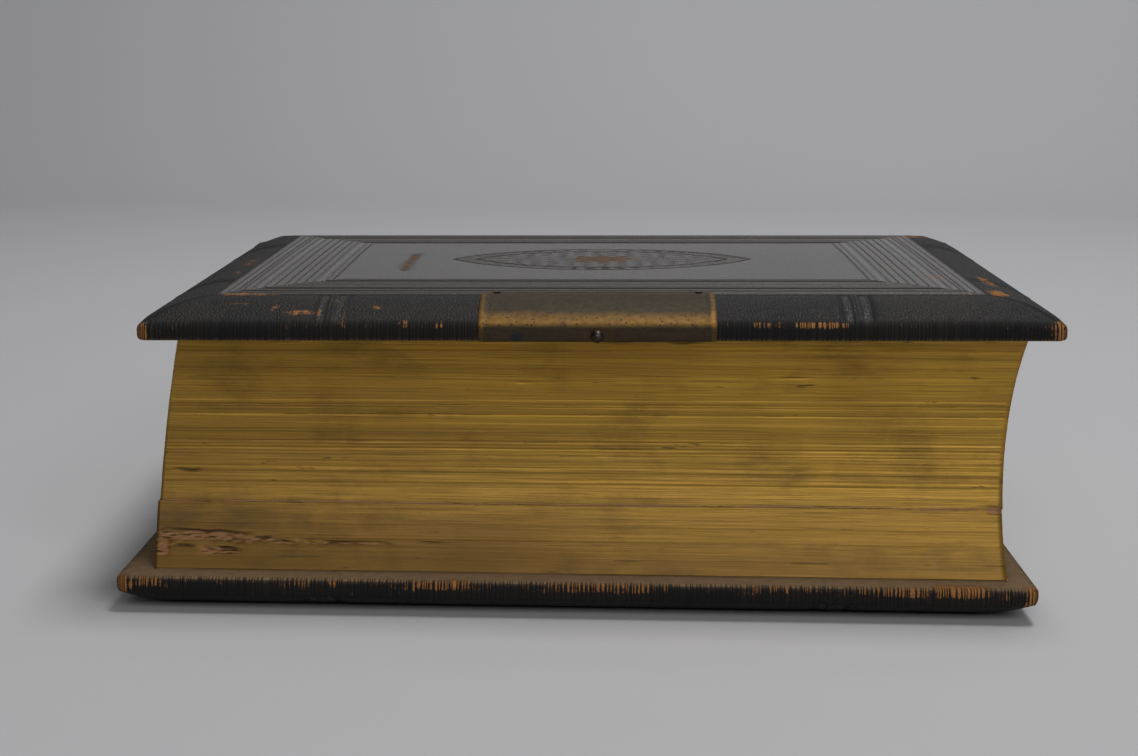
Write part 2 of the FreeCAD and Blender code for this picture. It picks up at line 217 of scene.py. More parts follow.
def arithmetic(operation):
    # a function that works out one value from two inside a material
    def work(tree, first, second=0.0):
        return put(tree, "Math", {0: first, 1: second}, operation=operation).outputs[0]
    return work


plus = arithmetic("ADD")
less = arithmetic("SUBTRACT")
times = arithmetic("MULTIPLY")
larger = arithmetic("MAXIMUM")
sizeOf = arithmetic("ABSOLUTE")
sineOf = arithmetic("SINE")


def stir(tree, value, pattern, strength):
    # a value moved up and down by a pattern that swings about one half
    return plus(tree, value, times(tree, less(tree, pattern, 0.5), strength))


def ramp(tree, value, low, high, start=0.0, end=1.0):
    # a value mapped from low..high to start..end, held at both ends
    made = put(tree, "MapRange", {"Value": value, "From Min": low, "From Max": high,
                                  "To Min": start, "To Max": end})
    return made.outputs[0]


def between(tree, share, first, second):
    # a value on the way from the first to the second
    return put(tree, "Mix", {"Factor": share, "A": first, "B": second}, data_type="FLOAT").outputs[0]


def mix(tree, share, first, second):
    # a colour on the way from the first to the second
    made = put(tree, "Mix", {"Factor": share}, data_type="RGBA")
    for key, value in ((6, first), (7, second)):
        feed(tree, made.inputs[key], value if isinstance(value, bpy.types.NodeSocket) else (*value, 1))
    return made.outputs[2]


def place(tree, scale=(1, 1, 1)):
    coordinates = put(tree, "TexCoord").outputs["Object"]
    return put(tree, "Mapping", {"Vector": coordinates, "Scale": scale}).outputs[0]


def levelShare(tree, low, high):
    # how level a face lies in the piece's own frame: 1 for a leaf's face, 0 for its cut edge
    facing = put(tree, "NewGeometry").outputs["True Normal"]
    own = put(tree, "VectorTransform", {0: facing}, vector_type="NORMAL", convert_from="WORLD",
              convert_to="OBJECT").outputs[0]
    upright = put(tree, "SeparateXYZ", {0: own}).outputs["Z"]
    return ramp(tree, sizeOf(tree, upright), low, high)


def noise(tree, vector, scale, detail=3.0, roughness=0.5):
    return put(tree, "TexNoise", {"Vector": vector, "Scale": scale, "Detail": detail,
                                  "Roughness": roughness}).outputs["Fac"]


def lineNoise(tree, along, scale, detail):
    # noise along a line
    return put(tree, "TexNoise", {"W": times(tree, along, scale), "Scale": 1.0, "Detail": detail},
               noise_dimensions="1D").outputs["Fac"]


def cellEdges(tree, vector, scale):
    # how far a point stands from the nearest border between cells
    return put(tree, "TexVoronoi", {"Vector": vector, "Scale": scale, "Randomness": 1.0},
               feature="DISTANCE_TO_EDGE").outputs["Distance"]


def cellDots(tree, vector, scale):
    return put(tree, "TexVoronoi", {"Vector": vector, "Scale": scale}).outputs["Distance"]


def bump(tree, height, distance, strength=1.0):
    return put(tree, "Bump", {"Height": height, "Distance": distance, "Strength": strength}).outputs[0]


# materials; bump depths are in metres and texture scales in waves to the metre, but ribPitch is in
# millimetres along the cover's edge

leatherLook = dict(
    black=(0.0040, 0.0034, 0.0033), faded=(0.015, 0.0112, 0.0090), brown=(0.075, 0.030, 0.011),
    tan=(0.29, 0.126, 0.033), dust=(0.21, 0.136, 0.068), trace=(0.105, 0.055, 0.027),
    paintedSheen=(0.026, 0.0205, 0.0165), ribShade=(0.002, 0.0018, 0.0018), line=(0.0025, 0.0023, 0.0025),
    pebble=900.0, pebbleDepth=0.00027, grain=2400.0, clouds=28.0, patches=260.0, specks=1100.0,
    ribPitch=1.28, ribWander=22.0, hollowRough=0.72, crownRough=0.52, glossRough=0.12, mattRough=0.95,
    shine=0.34)


def leatherMaterial(name, look=leatherLook):
    # dark pebbled leather; reads wear, groove, gloss, rib, dust, trace and along from the piece
    material, tree, bsdf = newMaterial(name)
    spot = place(tree)
    wear, groove, gloss, rib, dust, trace, along = (
        attribute(tree, key) for key in ("wear", "groove", "gloss", "rib", "dust", "trace", "along"))
    cells = cellEdges(tree, spot, look["pebble"])
    pebble = ramp(tree, cells, 0.0, 0.34)
    fine = noise(tree, spot, look["grain"], 3.0)
    wide = noise(tree, spot, look["clouds"], 4.0)
    patchy = noise(tree, spot, look["patches"], 6.0, 0.72)
    tiny = noise(tree, spot, look["specks"], 3.0, 0.6)

    # upright ribs where the leather is drawn over the edge: a sine along it whose phase wanders
    phase = plus(tree, times(tree, along, 2 * math.pi / look["ribPitch"]),
                 times(tree, lineNoise(tree, along, 0.21, 2.0), look["ribWander"]))
    uneven = lineNoise(tree, along, 0.55, 3.0)
    crest = ramp(tree, plus(tree, sineOf(tree, phase), times(tree, uneven, 1.6)), -0.2, 1.6)
    grain = plus(tree, times(tree, pebble, 0.85), times(tree, fine, 0.22))
    ribbed = plus(tree, crest, times(tree, grain, 0.35))
    # the glossier the leather, the flatter its grain
    height = times(tree, between(tree, rib, grain, ribbed), ramp(tree, gloss, 0.05, 1.05, 1.0, 0.0))

    # worn leather shows where the wear value and the patchy noise agree, first on the ribs' crests
    chance = stir(tree, stir(tree, wear, patchy, 1.7), tiny, 0.5)
    crests = times(tree, rib, less(tree, crest, 0.62))
    chance = plus(tree, chance, times(tree, crests, 0.5))
    bare = ramp(tree, chance, 0.55, 0.70)
    rubbed = ramp(tree, chance, 0.42, 0.62)
    colour = mix(tree, ramp(tree, wide, 0.35, 0.75, 0.0, 0.8), look["black"], look["faded"])
    # painted sheen: where the leather is glossy its colour is painted a lighter grey
    colour = mix(tree, ramp(tree, gloss, 0.3, 0.7), colour, look["paintedSheen"])
    hollows = ramp(tree, cells, 0.0, 0.12, 0.5, 0.0)
    tanned = mix(tree, hollows, look["tan"], look["brown"])
    tanned = mix(tree, ramp(tree, tiny, 0.5, 0.72, 0.0, 0.6), tanned, look["brown"])
    dusty = times(tree, dust, ramp(tree, patchy, 0.2, 0.7, 0.55, 1.0))
    gilding = ramp(tree, stir(tree, trace, patchy, 1.0), 0.45, 0.75)
    # painted shade in the hollows between the ribs on the edge
    ribShade = times(tree, rib, ramp(tree, crest, 0.1, 0.6, 0.8, 0.0))
    for share, over in ((dusty, look["dust"]), (times(tree, gilding, 0.8), look["trace"]),
                        (rubbed, look["brown"]), (bare, tanned), (ribShade, look["ribShade"]),
                        # painted shade: the tooled grooves are painted near black
                        (times(tree, groove, 0.85), look["line"])):
        colour = mix(tree, share, colour, over)

    rough = ramp(tree, pebble, 0.0, 1.0, look["hollowRough"], look["crownRough"])
    rough = between(tree, gloss, rough, look["glossRough"])
    matt = bare
    for share in (dust, groove, times(tree, rib, 0.9), times(tree, gilding, 0.75)):
        matt = larger(tree, matt, share)
    finish(tree, bsdf, colour=colour, rough=between(tree, matt, rough, look["mattRough"]),
           shine=look["shine"], normal=bump(tree, height, look["pebbleDepth"]))
    return material


giltLook = dict(
    gold=(0.34, 0.188, 0.026), litGold=(0.56, 0.33, 0.042), dullAndShadedGold=(0.150, 0.078, 0.014),
    dark=(0.030, 0.016, 0.005), torn=(0.25, 0.108, 0.034), paper=(0.60, 0.53, 0.40), metal=0.6,
    depth=0.00016)


def giltMaterial(name, look=giltLook):
    # dull gold over the cut leaves: streaks along the leaves, smudges and bare torn paper, with painted
    # light and shade over the whole edge and painted shade in its slits and gaps
    material, tree, bsdf = newMaterial(name)
    streaks = noise(tree, place(tree, (0.012, 0.012, 1.0)), 2300.0, 5.0, 0.65)
    bands = noise(tree, place(tree, (0.006, 0.006, 1.0)), 260.0, 3.0, 0.6)
    cloudy = noise(tree, place(tree), 17.0, 4.0, 0.55)
    smudge = noise(tree, place(tree, (1, 1, 1.6)), 30.0, 7.0, 0.62)
    fleck = noise(tree, place(tree, (0.16, 0.16, 1.0)), 420.0, 3.0, 0.6)
    flakes = noise(tree, place(tree, (0.07, 0.07, 1.0)), 1700.0, 4.0, 0.72)
    light, torn, slit = (attribute(tree, key) for key in ("light", "torn", "slit"))

    inside = ramp(tree, torn, 0.22, 0.45)
    lifted = stir(tree, flakes, torn, 0.12)
    raw = times(tree, inside, ramp(tree, lifted, 0.49, 0.54))
    # painted shade in the gaps between the lifted flakes of torn gilding
    gapShade = times(tree, inside, ramp(tree, lifted, 0.43, 0.48, 0.8, 0.0))
    level = levelShare(tree, 0.9990, 0.9996)
    # painted light and shade: the light value mixes a shaded copy of the gold with a lit one
    colour = mix(tree, ramp(tree, light, 0.0, 1.0), look["dullAndShadedGold"], look["litGold"])
    for share, over in ((ramp(tree, cloudy, 0.35, 0.7, 0.0, 0.55), "gold"),
                        (ramp(tree, bands, 0.42, 0.66, 0.0, 0.45), "dullAndShadedGold"),
                        (ramp(tree, streaks, 0.47, 0.66, 0.0, 0.55), "dullAndShadedGold"),
                        (ramp(tree, smudge, 0.52, 0.74, 0.0, 0.5), "dark"),
                        (ramp(tree, fleck, 0.68, 0.74, 0.0, 0.7), "dark"),
                        # the gaps and the slits are painted dark as shade
                        (gapShade, "dark"), (raw, "torn"), (ramp(tree, slit, 0.2, 0.8, 0.0, 0.8), "dark"),
                        (level, "paper")):
        colour = mix(tree, share, colour, look[over])
    finish(tree, bsdf, colour=colour, metal=between(tree, larger(tree, raw, level), look["metal"], 0.0),
           rough=ramp(tree, streaks, 0.3, 0.7, 0.42, 0.6),
           normal=bump(tree, plus(tree, streaks, times(tree, bands, 1.2)), look["depth"], 0.8))
    return material


def paperMaterial(name, colour, foxed, edge=None):
    # aged paper with foxing; a thin sheet's cut edges may be gilt
    material, tree, bsdf = newMaterial(name)
    spot = place(tree)
    fibre = noise(tree, spot, 900.0, 4.0, 0.7)
    stain = noise(tree, spot, 22.0, 5.0, 0.6)
    spots = ramp(tree, cellDots(tree, spot, 160.0), 0.04, 0.13, 0.6, 0.0)
    tint = mix(tree, ramp(tree, stain, 0.45, 0.8, 0.0, 0.6), colour, foxed)
    tint = mix(tree, times(tree, spots, ramp(tree, stain, 0.5, 0.7)), tint, foxed)
    if edge is not None:
        tint = mix(tree, levelShare(tree, 0.6, 0.9), edge, tint)
    finish(tree, bsdf, colour=tint, rough=0.85, normal=bump(tree, fibre, 0.00006, 0.5))
    return material


brassLook = dict(
    golden=(0.20, 0.100, 0.013), tarnish=(0.046, 0.032, 0.014), green=(0.034, 0.026, 0.012),
    dark=(0.026, 0.0125, 0.004), speck=(0.022, 0.013, 0.013), stain=(0.010, 0.012, 0.016),
    metal=0.35, shine=0.3, depth=0.00007)


def brassMaterial(name, look=brassLook):
    # old brass: olive tarnish, golden where rubbed and where highlights are painted on the rims and the
    # bend, painted shade on the lower face, dark specks; reads the rubbing and highlights, the shade and
    # the stain from the piece
    material, tree, bsdf = newMaterial(name)
    spot = place(tree)
    polishAndHighlight, shade, stain = (attribute(tree, key) for key in ("polishAndHighlight", "shade", "stain"))
    cloud = noise(tree, spot, 90.0, 6.0, 0.7)
    mottle = noise(tree, spot, 420.0, 4.0, 0.65)
    brushed = noise(tree, place(tree, (0.10, 1, 1)), 1100.0, 3.0, 0.6)
    gate = noise(tree, spot, 170.0, 4.0, 0.6)
    speck = ramp(tree, stir(tree, cellDots(tree, spot, 600.0), mottle, 0.35), 0.18, 0.30, 1.0, 0.0)
    speck = times(tree, speck, ramp(tree, gate, 0.40, 0.50))
    colour = mix(tree, ramp(tree, cloud, 0.35, 0.65), look["tarnish"], look["green"])
    for share, over in ((ramp(tree, stir(tree, polishAndHighlight, cloud, 0.8), 0.1, 0.9), "golden"),
                        (ramp(tree, stir(tree, shade, brushed, 1.0), 0.2, 0.9), "dark"),
                        (ramp(tree, mottle, 0.45, 0.8, 0.0, 0.5), "dark"),
                        (times(tree, speck, 0.85), "speck"),
                        (ramp(tree, stain, 0.3, 0.7, 0.0, 0.85), "stain")):
        colour = mix(tree, share, colour, look[over])
    height = less(tree, times(tree, brushed, 0.3), speck)
    finish(tree, bsdf, colour=colour, metal=look["metal"], shine=look["shine"],
           rough=ramp(tree, mottle, 0.3, 0.7, 0.55, 0.70), normal=bump(tree, height, look["depth"], 0.7))
    return material


def plainMaterial(name, colour, rough, metal=0.0, scale=500.0, depth=0.0001):
    # a plain finish with fine mottling in its colour and surface
    material, tree, bsdf = newMaterial(name)
    mottle = noise(tree, place(tree), scale, 4.0, 0.6)
    dark = tuple(channel * 0.6 for channel in colour)
    finish(tree, bsdf, colour=mix(tree, ramp(tree, mottle, 0.35, 0.7), colour, dark), rough=rough,
           metal=metal, normal=bump(tree, mottle, depth, 0.6))
    return material


def silkMaterial(name, first, second):
    # wound thread in two colours; reads stripe from the piece
    material, tree, bsdf = newMaterial(name)
    threads = noise(tree, place(tree, (4, 1, 1)), 1500.0, 2.0)
    finish(tree, bsdf, colour=mix(tree, attribute(tree, "stripe"), first, second), rough=0.6,
           normal=bump(tree, threads, 0.0001, 0.6))
    return material


leather = leatherMaterial("blackMorocco")
gilt = giltMaterial("giltLeaves")
endpaper = paperMaterial("endpaper", (0.60, 0.53, 0.40), (0.38, 0.25, 0.13))
flyPaper = paperMaterial("flyleafPaper", (0.66, 0.60, 0.47), (0.42, 0.29, 0.15), (0.21, 0.14, 0.055))
brass = brassMaterial("tarnishedBrass")
endbandSilk = silkMaterial("endbandSilk", (0.30, 0.05, 0.035), (0.55, 0.45, 0.28))
darkSteel = plainMaterial("darkSteel", (0.055, 0.045, 0.04), 0.38, 0.9, 800.0, 0.00005)
millboard = plainMaterial("millboard", (0.30, 0.22, 0.13), 0.9)
spineCard = plainMaterial("spineCard", (0.34, 0.26, 0.16), 0.9)
hemp = plainMaterial("hempCord", (0.42, 0.33, 0.2), 0.95, 0.0, 1500.0, 0.0002)
mull = plainMaterial("liningCloth", (0.5, 0.45, 0.34), 0.95, 0.0, 1200.0, 0.0002)
print("materials made")


# covers: a form given by its height over the plan, wrapped in leather

cover = dict(edgeTop=5.8, bevelWidth=23.6, swell=2.0, cornerRadius=4.0, cornerDroop=0.8, droopReach=11.0,
             frameEnd=66.0, cornerSteps=5, spineFall=2.4, spineFallRun=26.0, puffRun=7.0, puffReach=120.0,
             keepAlong=101.0, keepAcross=68.0, fieldGloss=0.84, finestRing=0.22, finestColumn=0.3,
             arrisHalf=1.5, cornerGain=1.3, faintCorner=20.0, faintGain=0.22, ribTop=3.2, ribRun=2.2,
             foreLines=dict(wide=1.7, depth=0.9, dark=1.0), endLines=dict(wide=0.8, depth=0.28, dark=0.55))
# each rule: inset of its middle, half width, depth, kind
rules = [(23.9, 0.42, 0.62, "line"), (27.8, 0.36, 0.60, "line"), (30.7, 0.40, 0.70, "line"),
         (32.6, 0.36, 0.60, "line"), (37.2, 1.7, 0.45, "channel"), (42.3, 0.38, 0.65, "line"),
         (45.9, 0.38, 0.65, "line"), (48.9, 0.34, 0.50, "line"), (52.2, 0.38, 0.65, "line"),
         (57.2, 1.9, 0.45, "channel"), (61.9, 0.40, 0.65, "line")]


def bevelHeight(d):
    # edge height, plus a straight rise over the bevel's width, plus a parabola for its swell
    u = np.clip(d / cover["bevelWidth"], 0, 1)
    rise = coverThick - cover["edgeTop"]
    return cover["edgeTop"] + rise * u + 4 * cover["swell"] * u * (1 - u)


def edgeDistances(a, b):
    # how far a point of the cover's plan lies from the nearer end, the fore edge and the spine edge
    toFore = b + boardWidth / 2
    return boardLength / 2 - np.abs(a), toFore, boardWidth - toFore


def coverHeight(a, b, puff):
    # the lower of the end bevel and the fore-edge bevel, plus a slow puff inside the bevels,
    # less a droop of the worn outer corners and a fall towards the spine
    toEnd, toFore, toSpine = edgeDistances(a, b)
    inside = np.minimum(toEnd, toFore) - cover["bevelWidth"]
    corner = np.hypot(toEnd, np.minimum(toFore, toSpine))
    full = np.minimum(bevelHeight(toEnd), bevelHeight(toFore)) - cover["edgeTop"]
    fall = smooth(1 - toSpine / cover["spineFallRun"]) * cover["spineFall"]
    return (cover["edgeTop"] + full * (1 - fall / (coverThick - cover["edgeTop"]))
            + puff * (1 - np.exp(-np.clip(inside, 0, None) / cover["puffRun"]))
            * smooth(toSpine / cover["puffReach"])
            - cover["cornerDroop"] * hill(corner, cover["droopReach"]) * (toFore < boardWidth / 2))


def marks(depth, groove=0.0, gloss=0.0, trace=0.0):
    # one mark in the leather: how deep, how much it is a line painted dark as shade, how glossy (which also
    # paints a sheen), how gilt
    return np.stack(np.broadcast_arrays(depth, groove, gloss, trace)).astype(float)


def together(*every):
    # depths add up; for the rest the strongest mark counts
    every = np.stack(every)
    return np.concatenate([every[:, :1].sum(0), every[:, 1:].max(0)])


def ruleMarks(d, wide, depth, dark):
    # lines are bell-shaped dips, painted dark as shade; channels are flat glossy dips, with painted sheen
    # and a fine line of painted shade along each side
    total = marks(np.zeros(np.shape(d)))
    for middle, half, deep, kind in rules:
        off = np.abs(d - middle)
        if kind == "line":
            total = together(total, marks(depth * deep * hill(off, half * wide ** 0.6),
                                          dark * hill(off, half * wide ** 0.7)))
        else:
            body = smooth((half + 0.3 - off) / 0.5)
            sides = hill(off - half, 0.3 * wide)
            total = together(total, marks(depth * (deep * body + 0.25 * sides), dark * sides,
                                          hill(off, half * 0.8)))
    return total


def sideShares(spans):
    # shares along a side, from -1 to 1; spans are (start, end, step) in millimetres on the board's edge
    values = np.unique(np.round(np.concatenate([np.arange(*span) for span in spans]), 2))
    values = thinned(values, cover["finestColumn"])
    return 2 * (values - values[0]) / (values[-1] - values[0]) - 1


def sidePlaces(shares, half, full, keep, spread):
    # near the edge the middle of every ring keeps its places, so that the ties run straight;
    # further in, where spread goes to 1, the places shrink evenly towards the panel
    base = np.abs(shares) * full
    fixed = np.minimum(base, keep) + np.clip(base - keep, 0, None) * (half - keep) / (full - keep)
    return np.sign(shares) * (fixed + (np.abs(shares) * half - fixed) * spread)


def ringPlan(insets, spineInsets, radii, spread, sharesA, sharesB):
    # rings of plan points: rounded rectangles drawn in from the board's edges by the insets
    steps = cover["cornerSteps"]
    left = (-boardLength / 2 + insets)[:, None]
    right = -left
    fore = (-boardWidth / 2 + insets)[:, None]
    spine = (boardWidth / 2 - spineInsets)[:, None]
    r = radii[:, None]
    turn = (np.arange(1, steps + 1) / (steps + 1) * np.pi / 2)[None, :]
    spread = spread[:, None]
    runA = sidePlaces(sharesA, right - r, boardLength / 2, cover["keepAlong"], spread)
    middle = (fore + spine) / 2
    runB = middle + sidePlaces(sharesB, spine - middle - r, boardWidth / 2, cover["keepAcross"], spread)
    flatA = np.ones_like(runA)
    flatB = np.ones_like(runB)
    a = [runA, right - r + r * np.sin(turn), right * flatB, right - r + r * np.cos(turn),
         runA[:, ::-1], left + r - r * np.sin(turn), left * flatB, left + r - r * np.cos(turn)]
    b = [fore * flatA, fore + r - r * np.cos(turn), runB, spine - r + r * np.sin(turn),
         spine * flatA, spine - r + r * np.cos(turn), runB[:, ::-1], fore + r - r * np.sin(turn)]
    return np.hstack(a), np.hstack(b)


def rimIndex(countA, countB, start):
    # the inner panel's own border points, in the order of the last ring
    steps = cover["cornerSteps"]
    grid = np.arange(countA * countB).reshape(countB, countA) + start
    corners = [grid[0, -1], grid[-1, -1], grid[-1, 0], grid[0, 0]]
    sides = [grid[0], grid[:, -1], grid[-1, ::-1], grid[::-1, 0]]
    order = []
    for side, corner in zip(sides, corners):
        order.append(side)
        order.append(np.full(steps, corner))
    return np.concatenate(order)


def toWorld(place, a, b, h):
    # cover coordinates: a along the board, b across it, h above its inner face
    a, b, h = np.broadcast_arrays(a, b, h)
    points = (place["origin"] + a[..., None] * place["along"] + b[..., None] * acrossBoards
              + (h - coverThick)[..., None] * place["out"])
    return points.reshape(-1, 3)


def coverLeather(name, place, body, look):
    # the whole wrap of one cover: rings of points from the turn-in over the edge to the tooled frame,
    # then a grid for the panel inside the frame
    puff = look["puff"]
    sharesA = sideShares(look["spansA"])
    sharesB = sideShares(look["spansB"])

    # inner rows: inset, inset at the spine, place below the face; under: the same, height itself;
    # edge: inset, share of the edge's height
    inner = [(24.0, 2.0, -1.2), (12.0, 1.6, -1.2), (1.1, 1.1, -1.1)]
    under = [(1.1, 1.1, 0.74), (17.0, 2.0, 0.74), (17.0, 2.0, 0.04), (15.0, 1.9, 0.0), (8.0, 1.7, 0.0),
             (3.0, 1.5, 0.0), (1.4, 1.4, 0.05)]
    edge = [(0.7, 0.05), (0.3, 0.12), (0.06, 0.26), (0.0, 0.48), (0.02, 0.70), (0.16, 0.87), (0.5, 0.97)]
    nearRule = np.array([-2.0, -1.5, -1.1, -0.8, -0.4, 0, 0.4, 0.8, 1.1, 1.5])
    top = [np.array([1.0, 1.6, 2.4]), np.arange(3.6, cover["bevelWidth"] - 1.5, 1.7)]
    top += [rule[0] + nearRule * max(rule[1], 0.75) for rule in rules]
    top += [np.array([64.0, cover["frameEnd"] - 1.0])]
    top = thinned(np.unique(np.round(np.concatenate(top), 2)), cover["finestRing"])
    insets = np.array([row[0] for row in inner + under + edge] + list(top))
    spineInsets = np.array([row[1] for row in inner + under] + [row[0] for row in edge] + list(top))
    radii = np.clip(cover["cornerRadius"] - insets, 0.25, None)
    spreadFrom = 24.0
    spread = smooth((insets - spreadFrom) / (cover["frameEnd"] - spreadFrom))
    spread = np.where(insets == spineInsets, spread, 1.0)
    a, b = ringPlan(insets, spineInsets, radii, spread, sharesA, sharesB)
    rows, columns = a.shape
    face = coverHeight(a, b, puff)
    h = face.copy()
    for k, row in enumerate(inner):
        h[k] = face[k] + row[2]
    for k, row in enumerate(under):
        h[len(inner) + k] = row[2]
    first = len(inner) + len(under)
    for k, row in enumerate(edge):
        h[first + k] = face[first + k] * row[1]
    start = first + len(edge)
    alongFore = boardWidth / 2 - np.abs(b[start:]) < boardLength / 2 - np.abs(a[start:])
    ruled = np.where(alongFore, ruleMarks(insets[start:], **cover["foreLines"])[:, :, None],
                     ruleMarks(insets[start:], **cover["endLines"])[:, :, None])
    pressed = together(ruled, look["marks"](a[start:], b[start:]))
    inward = np.minimum(boardLength / 2 - np.abs(a[start:]), b[start:] + boardWidth / 2)
    inward = inward - cover["bevelWidth"]
    # the field is glossy, which also paints a sheen into its colour
    pressed[2] = np.maximum(pressed[2], cover["fieldGloss"] * smooth(inward / 2.5))
    h[start:] -= pressed[0]

    # the inner panel continues the face as a plain grid
    left = -boardLength / 2 + cover["frameEnd"]
    fore = -boardWidth / 2 + cover["frameEnd"]
    panelA, panelB = np.meshgrid(-left * sharesA, -fore * sharesB)
    panel = look["marks"](panelA, panelB)
    panelH = coverHeight(panelA, panelB, puff) - panel[0]
    # the panel is glossy too, with painted sheen
    panel[2] = np.maximum(panel[2], cover["fieldGloss"])

    allA = np.concatenate([a.ravel(), panelA.ravel()])
    allB = np.concatenate([b.ravel(), panelB.ravel()])
    allH = np.concatenate([h.ravel(), panelH.ravel()])
    tooled = np.zeros((3, rows, columns))
    tooled[:, start:] = pressed[1:]
    tooled = np.hstack([tooled.reshape(3, -1), panel[1:].reshape(3, -1)])

    # wear: on the arris, at the outer corners and in the scuffs that the look names; each scuff has its
    # place along and across, its half lengths along and across, and its strength
    toEnd, toFore, toSpine = edgeDistances(allA, allB)
    near = np.minimum(np.minimum(toEnd, toFore), toSpine)
    corner = np.hypot(toEnd, np.minimum(toFore, toSpine))
    onEdge = hill(np.minimum(toEnd, toFore), cover["arrisHalf"]) * look["arrisBand"](allH)
    along = np.where(toEnd < toFore, allB, allA)
    wander = waves(along, look["seed"], 90.0)
    wear = look["arrisWear"] * onEdge * (0.7 + 0.45 * wander)
    wear = np.maximum(wear, cover["cornerGain"] * hill(corner, look["cornerWear"]))
    wear = np.maximum(wear, cover["faintGain"] * hill(corner, cover["faintCorner"]))
    for spotA, spotB, wideA, wideB, strength in look["scuffs"]:
        off = ((allA - spotA) / wideA) ** 4 + ((allB - spotB) / wideB) ** 4
        wear = np.maximum(wear, strength * np.exp(-off) * look["scuffBand"](allH))
    rib = smooth((cover["ribTop"] - near) / cover["ribRun"]) * smooth((coverThick - allH) / 3.0)
    # the turned-in leather inside the cover is matt and dusty
    dust = smooth((0.9 - allH) / 0.6) * look["dust"]

    points = toWorld(place, allA, allB, allH)
    turned = place["out"][2] < 0
    faces = [ringFaces(rows, columns, 0, turned),
             gridFaces(len(sharesB), len(sharesA), rows * columns, turned)]
    rim = rimIndex(len(sharesA), len(sharesB), rows * columns)
    last = np.arange(columns) + (rows - 1) * columns
    join = np.stack([last, np.roll(last, -1), np.roll(rim, -1), rim], -1)
    narrow = rim == np.roll(rim, -1)
    joinQuads, joinTris = join[~narrow], join[narrow][:, :3]
    cap = np.arange(columns)[None, ::-1]
    if turned:
        joinQuads, joinTris, cap = joinQuads[:, ::-1], joinTris[:, ::-1], cap[:, ::-1]
    faces += [joinQuads, joinTris, cap]
    values = dict(wear=wear, groove=tooled[0], gloss=tooled[1], trace=tooled[2], rib=rib, dust=dust,
                  along=along)
    piece = meshPiece(name, points, faces, leather, values)
    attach(piece, body)
    return piece


tieShape = dict(outer=4.5, inner=1.3, ridge=0.7, sideLine=5.3, bandDeep=0.30, ridgeHigh=0.15, lineDeep=0.45)


def tie(d):
    # two smooth pressed bands with a double ridge between them and a line each side painted dark as shade;
    # the bands and the ridge are glossy, with painted sheen
    off = np.abs(d)
    side = off - tieShape["sideLine"]
    band = smooth((tieShape["outer"] - off) / 0.4) * smooth((off - tieShape["inner"]) / 0.4)
    ridge = hill(off - tieShape["ridge"], 0.42)
    line = hill(side, 0.35) + hill(off - tieShape["inner"] - 0.15, 0.25) + hill(off, 0.25)
    depth = tieShape["bandDeep"] * band - tieShape["ridgeHigh"] * ridge
    depth = depth + tieShape["lineDeep"] * hill(side, 0.45)
    return depth, np.clip(line, 0, 1), 0.36 * band + 0.3 * ridge


def tieMarks(a, b, foreTies, sideTies):
    # ties count only on their own bevel: fore-edge ties where the fore edge is nearest
    toEnd, toFore = edgeDistances(a, b)[:2]
    inner = cover["bevelWidth"]
    onFore = smooth(inner + 0.2 - toFore) * (toFore < toEnd)
    onEnd = smooth(inner + 0.2 - toEnd) * (toEnd < toFore)
    total = marks(np.zeros(np.shape(a)))
    for middle in foreTies:
        total = together(total, marks(*tie(a - middle)) * onFore)
    for middle in sideTies:
        total = together(total, marks(*tie(b - middle)) * onEnd)
    return total


def mitreMarks(a, b):
    # a fine line down each outer mitre, where both bevels meet, painted dark as shade
    toEnd, toFore = edgeDistances(a, b)[:2]
    reach = smooth(cover["bevelWidth"] + 0.5 - np.maximum(toEnd, toFore)) * (toFore < boardWidth / 2)
    line = hill((toEnd - toFore) / 1.41, 0.5) * reach
    return marks(0.35 * line, line, 0)


ornament = dict(halfLong=60.0, halfWide=37.0, centre=2.0, border=4.0, beads=52, innerLine=8.0,
                latticePitch=9.0, latticeLean=1.3, rosette=12.5, petals=8, petalWave=2.6, eye=5.0)


def medallionMarks(a, b):
    # a pointed oval from two circles' arcs: a beaded border, a lattice inside it and a small rosette
    b = b - ornament["centre"]
    long, wide = ornament["halfLong"], ornament["halfWide"]
    radius = (long ** 2 + wide ** 2) / (2 * wide)
    inside = radius - np.hypot(a, np.abs(b) + radius - wide)
    border = smooth((2.4 - np.abs(inside - ornament["border"])) / 0.5)
    beads = 0.5 + 0.5 * np.sin(np.arctan2(b * long / wide, a) * ornament["beads"])
    lines = hill(inside, 0.55) + hill(inside - ornament["innerLine"], 0.55)
    field = smooth(inside - ornament["innerLine"] - 1.0)
    middle = np.hypot(a, b)
    angle = np.arctan2(b, a)
    wave = ornament["petalWave"] * np.cos(angle * ornament["petals"])
    petals = smooth(ornament["rosette"] + wave - middle)
    pitch = ornament["latticePitch"]
    lattice = 0.0
    for lean in (ornament["latticeLean"], -ornament["latticeLean"]):
        lattice = lattice + hill(np.mod(a + b * lean, pitch) - pitch / 2, 0.55)
    lattice = np.clip(lattice, 0, 1) * field * (1 - petals)
    veins = hill(np.sin(angle * ornament["petals"] / 2), 0.22) + hill(middle - ornament["eye"], 0.8)
    veins = petals * np.clip(veins, 0, 1)
    depth = 0.6 * lines + 0.35 * border * beads + 0.35 * lattice + 0.4 * veins
    groove = np.clip(lines + 0.3 * lattice + 0.5 * veins, 0, 1)
    trace = np.clip(0.55 * border * (1 - beads) + 0.45 * lattice + 0.6 * petals + 0.2 * field, 0, 1)
    return marks(depth, groove, np.clip(border + petals, 0, 1) * 0.3, trace)


bar = dict(placeA=-77.0, placeB=-9.0, halfLong=31.0, halfWide=3.4, pitch=5.6, lozenge=2.6)


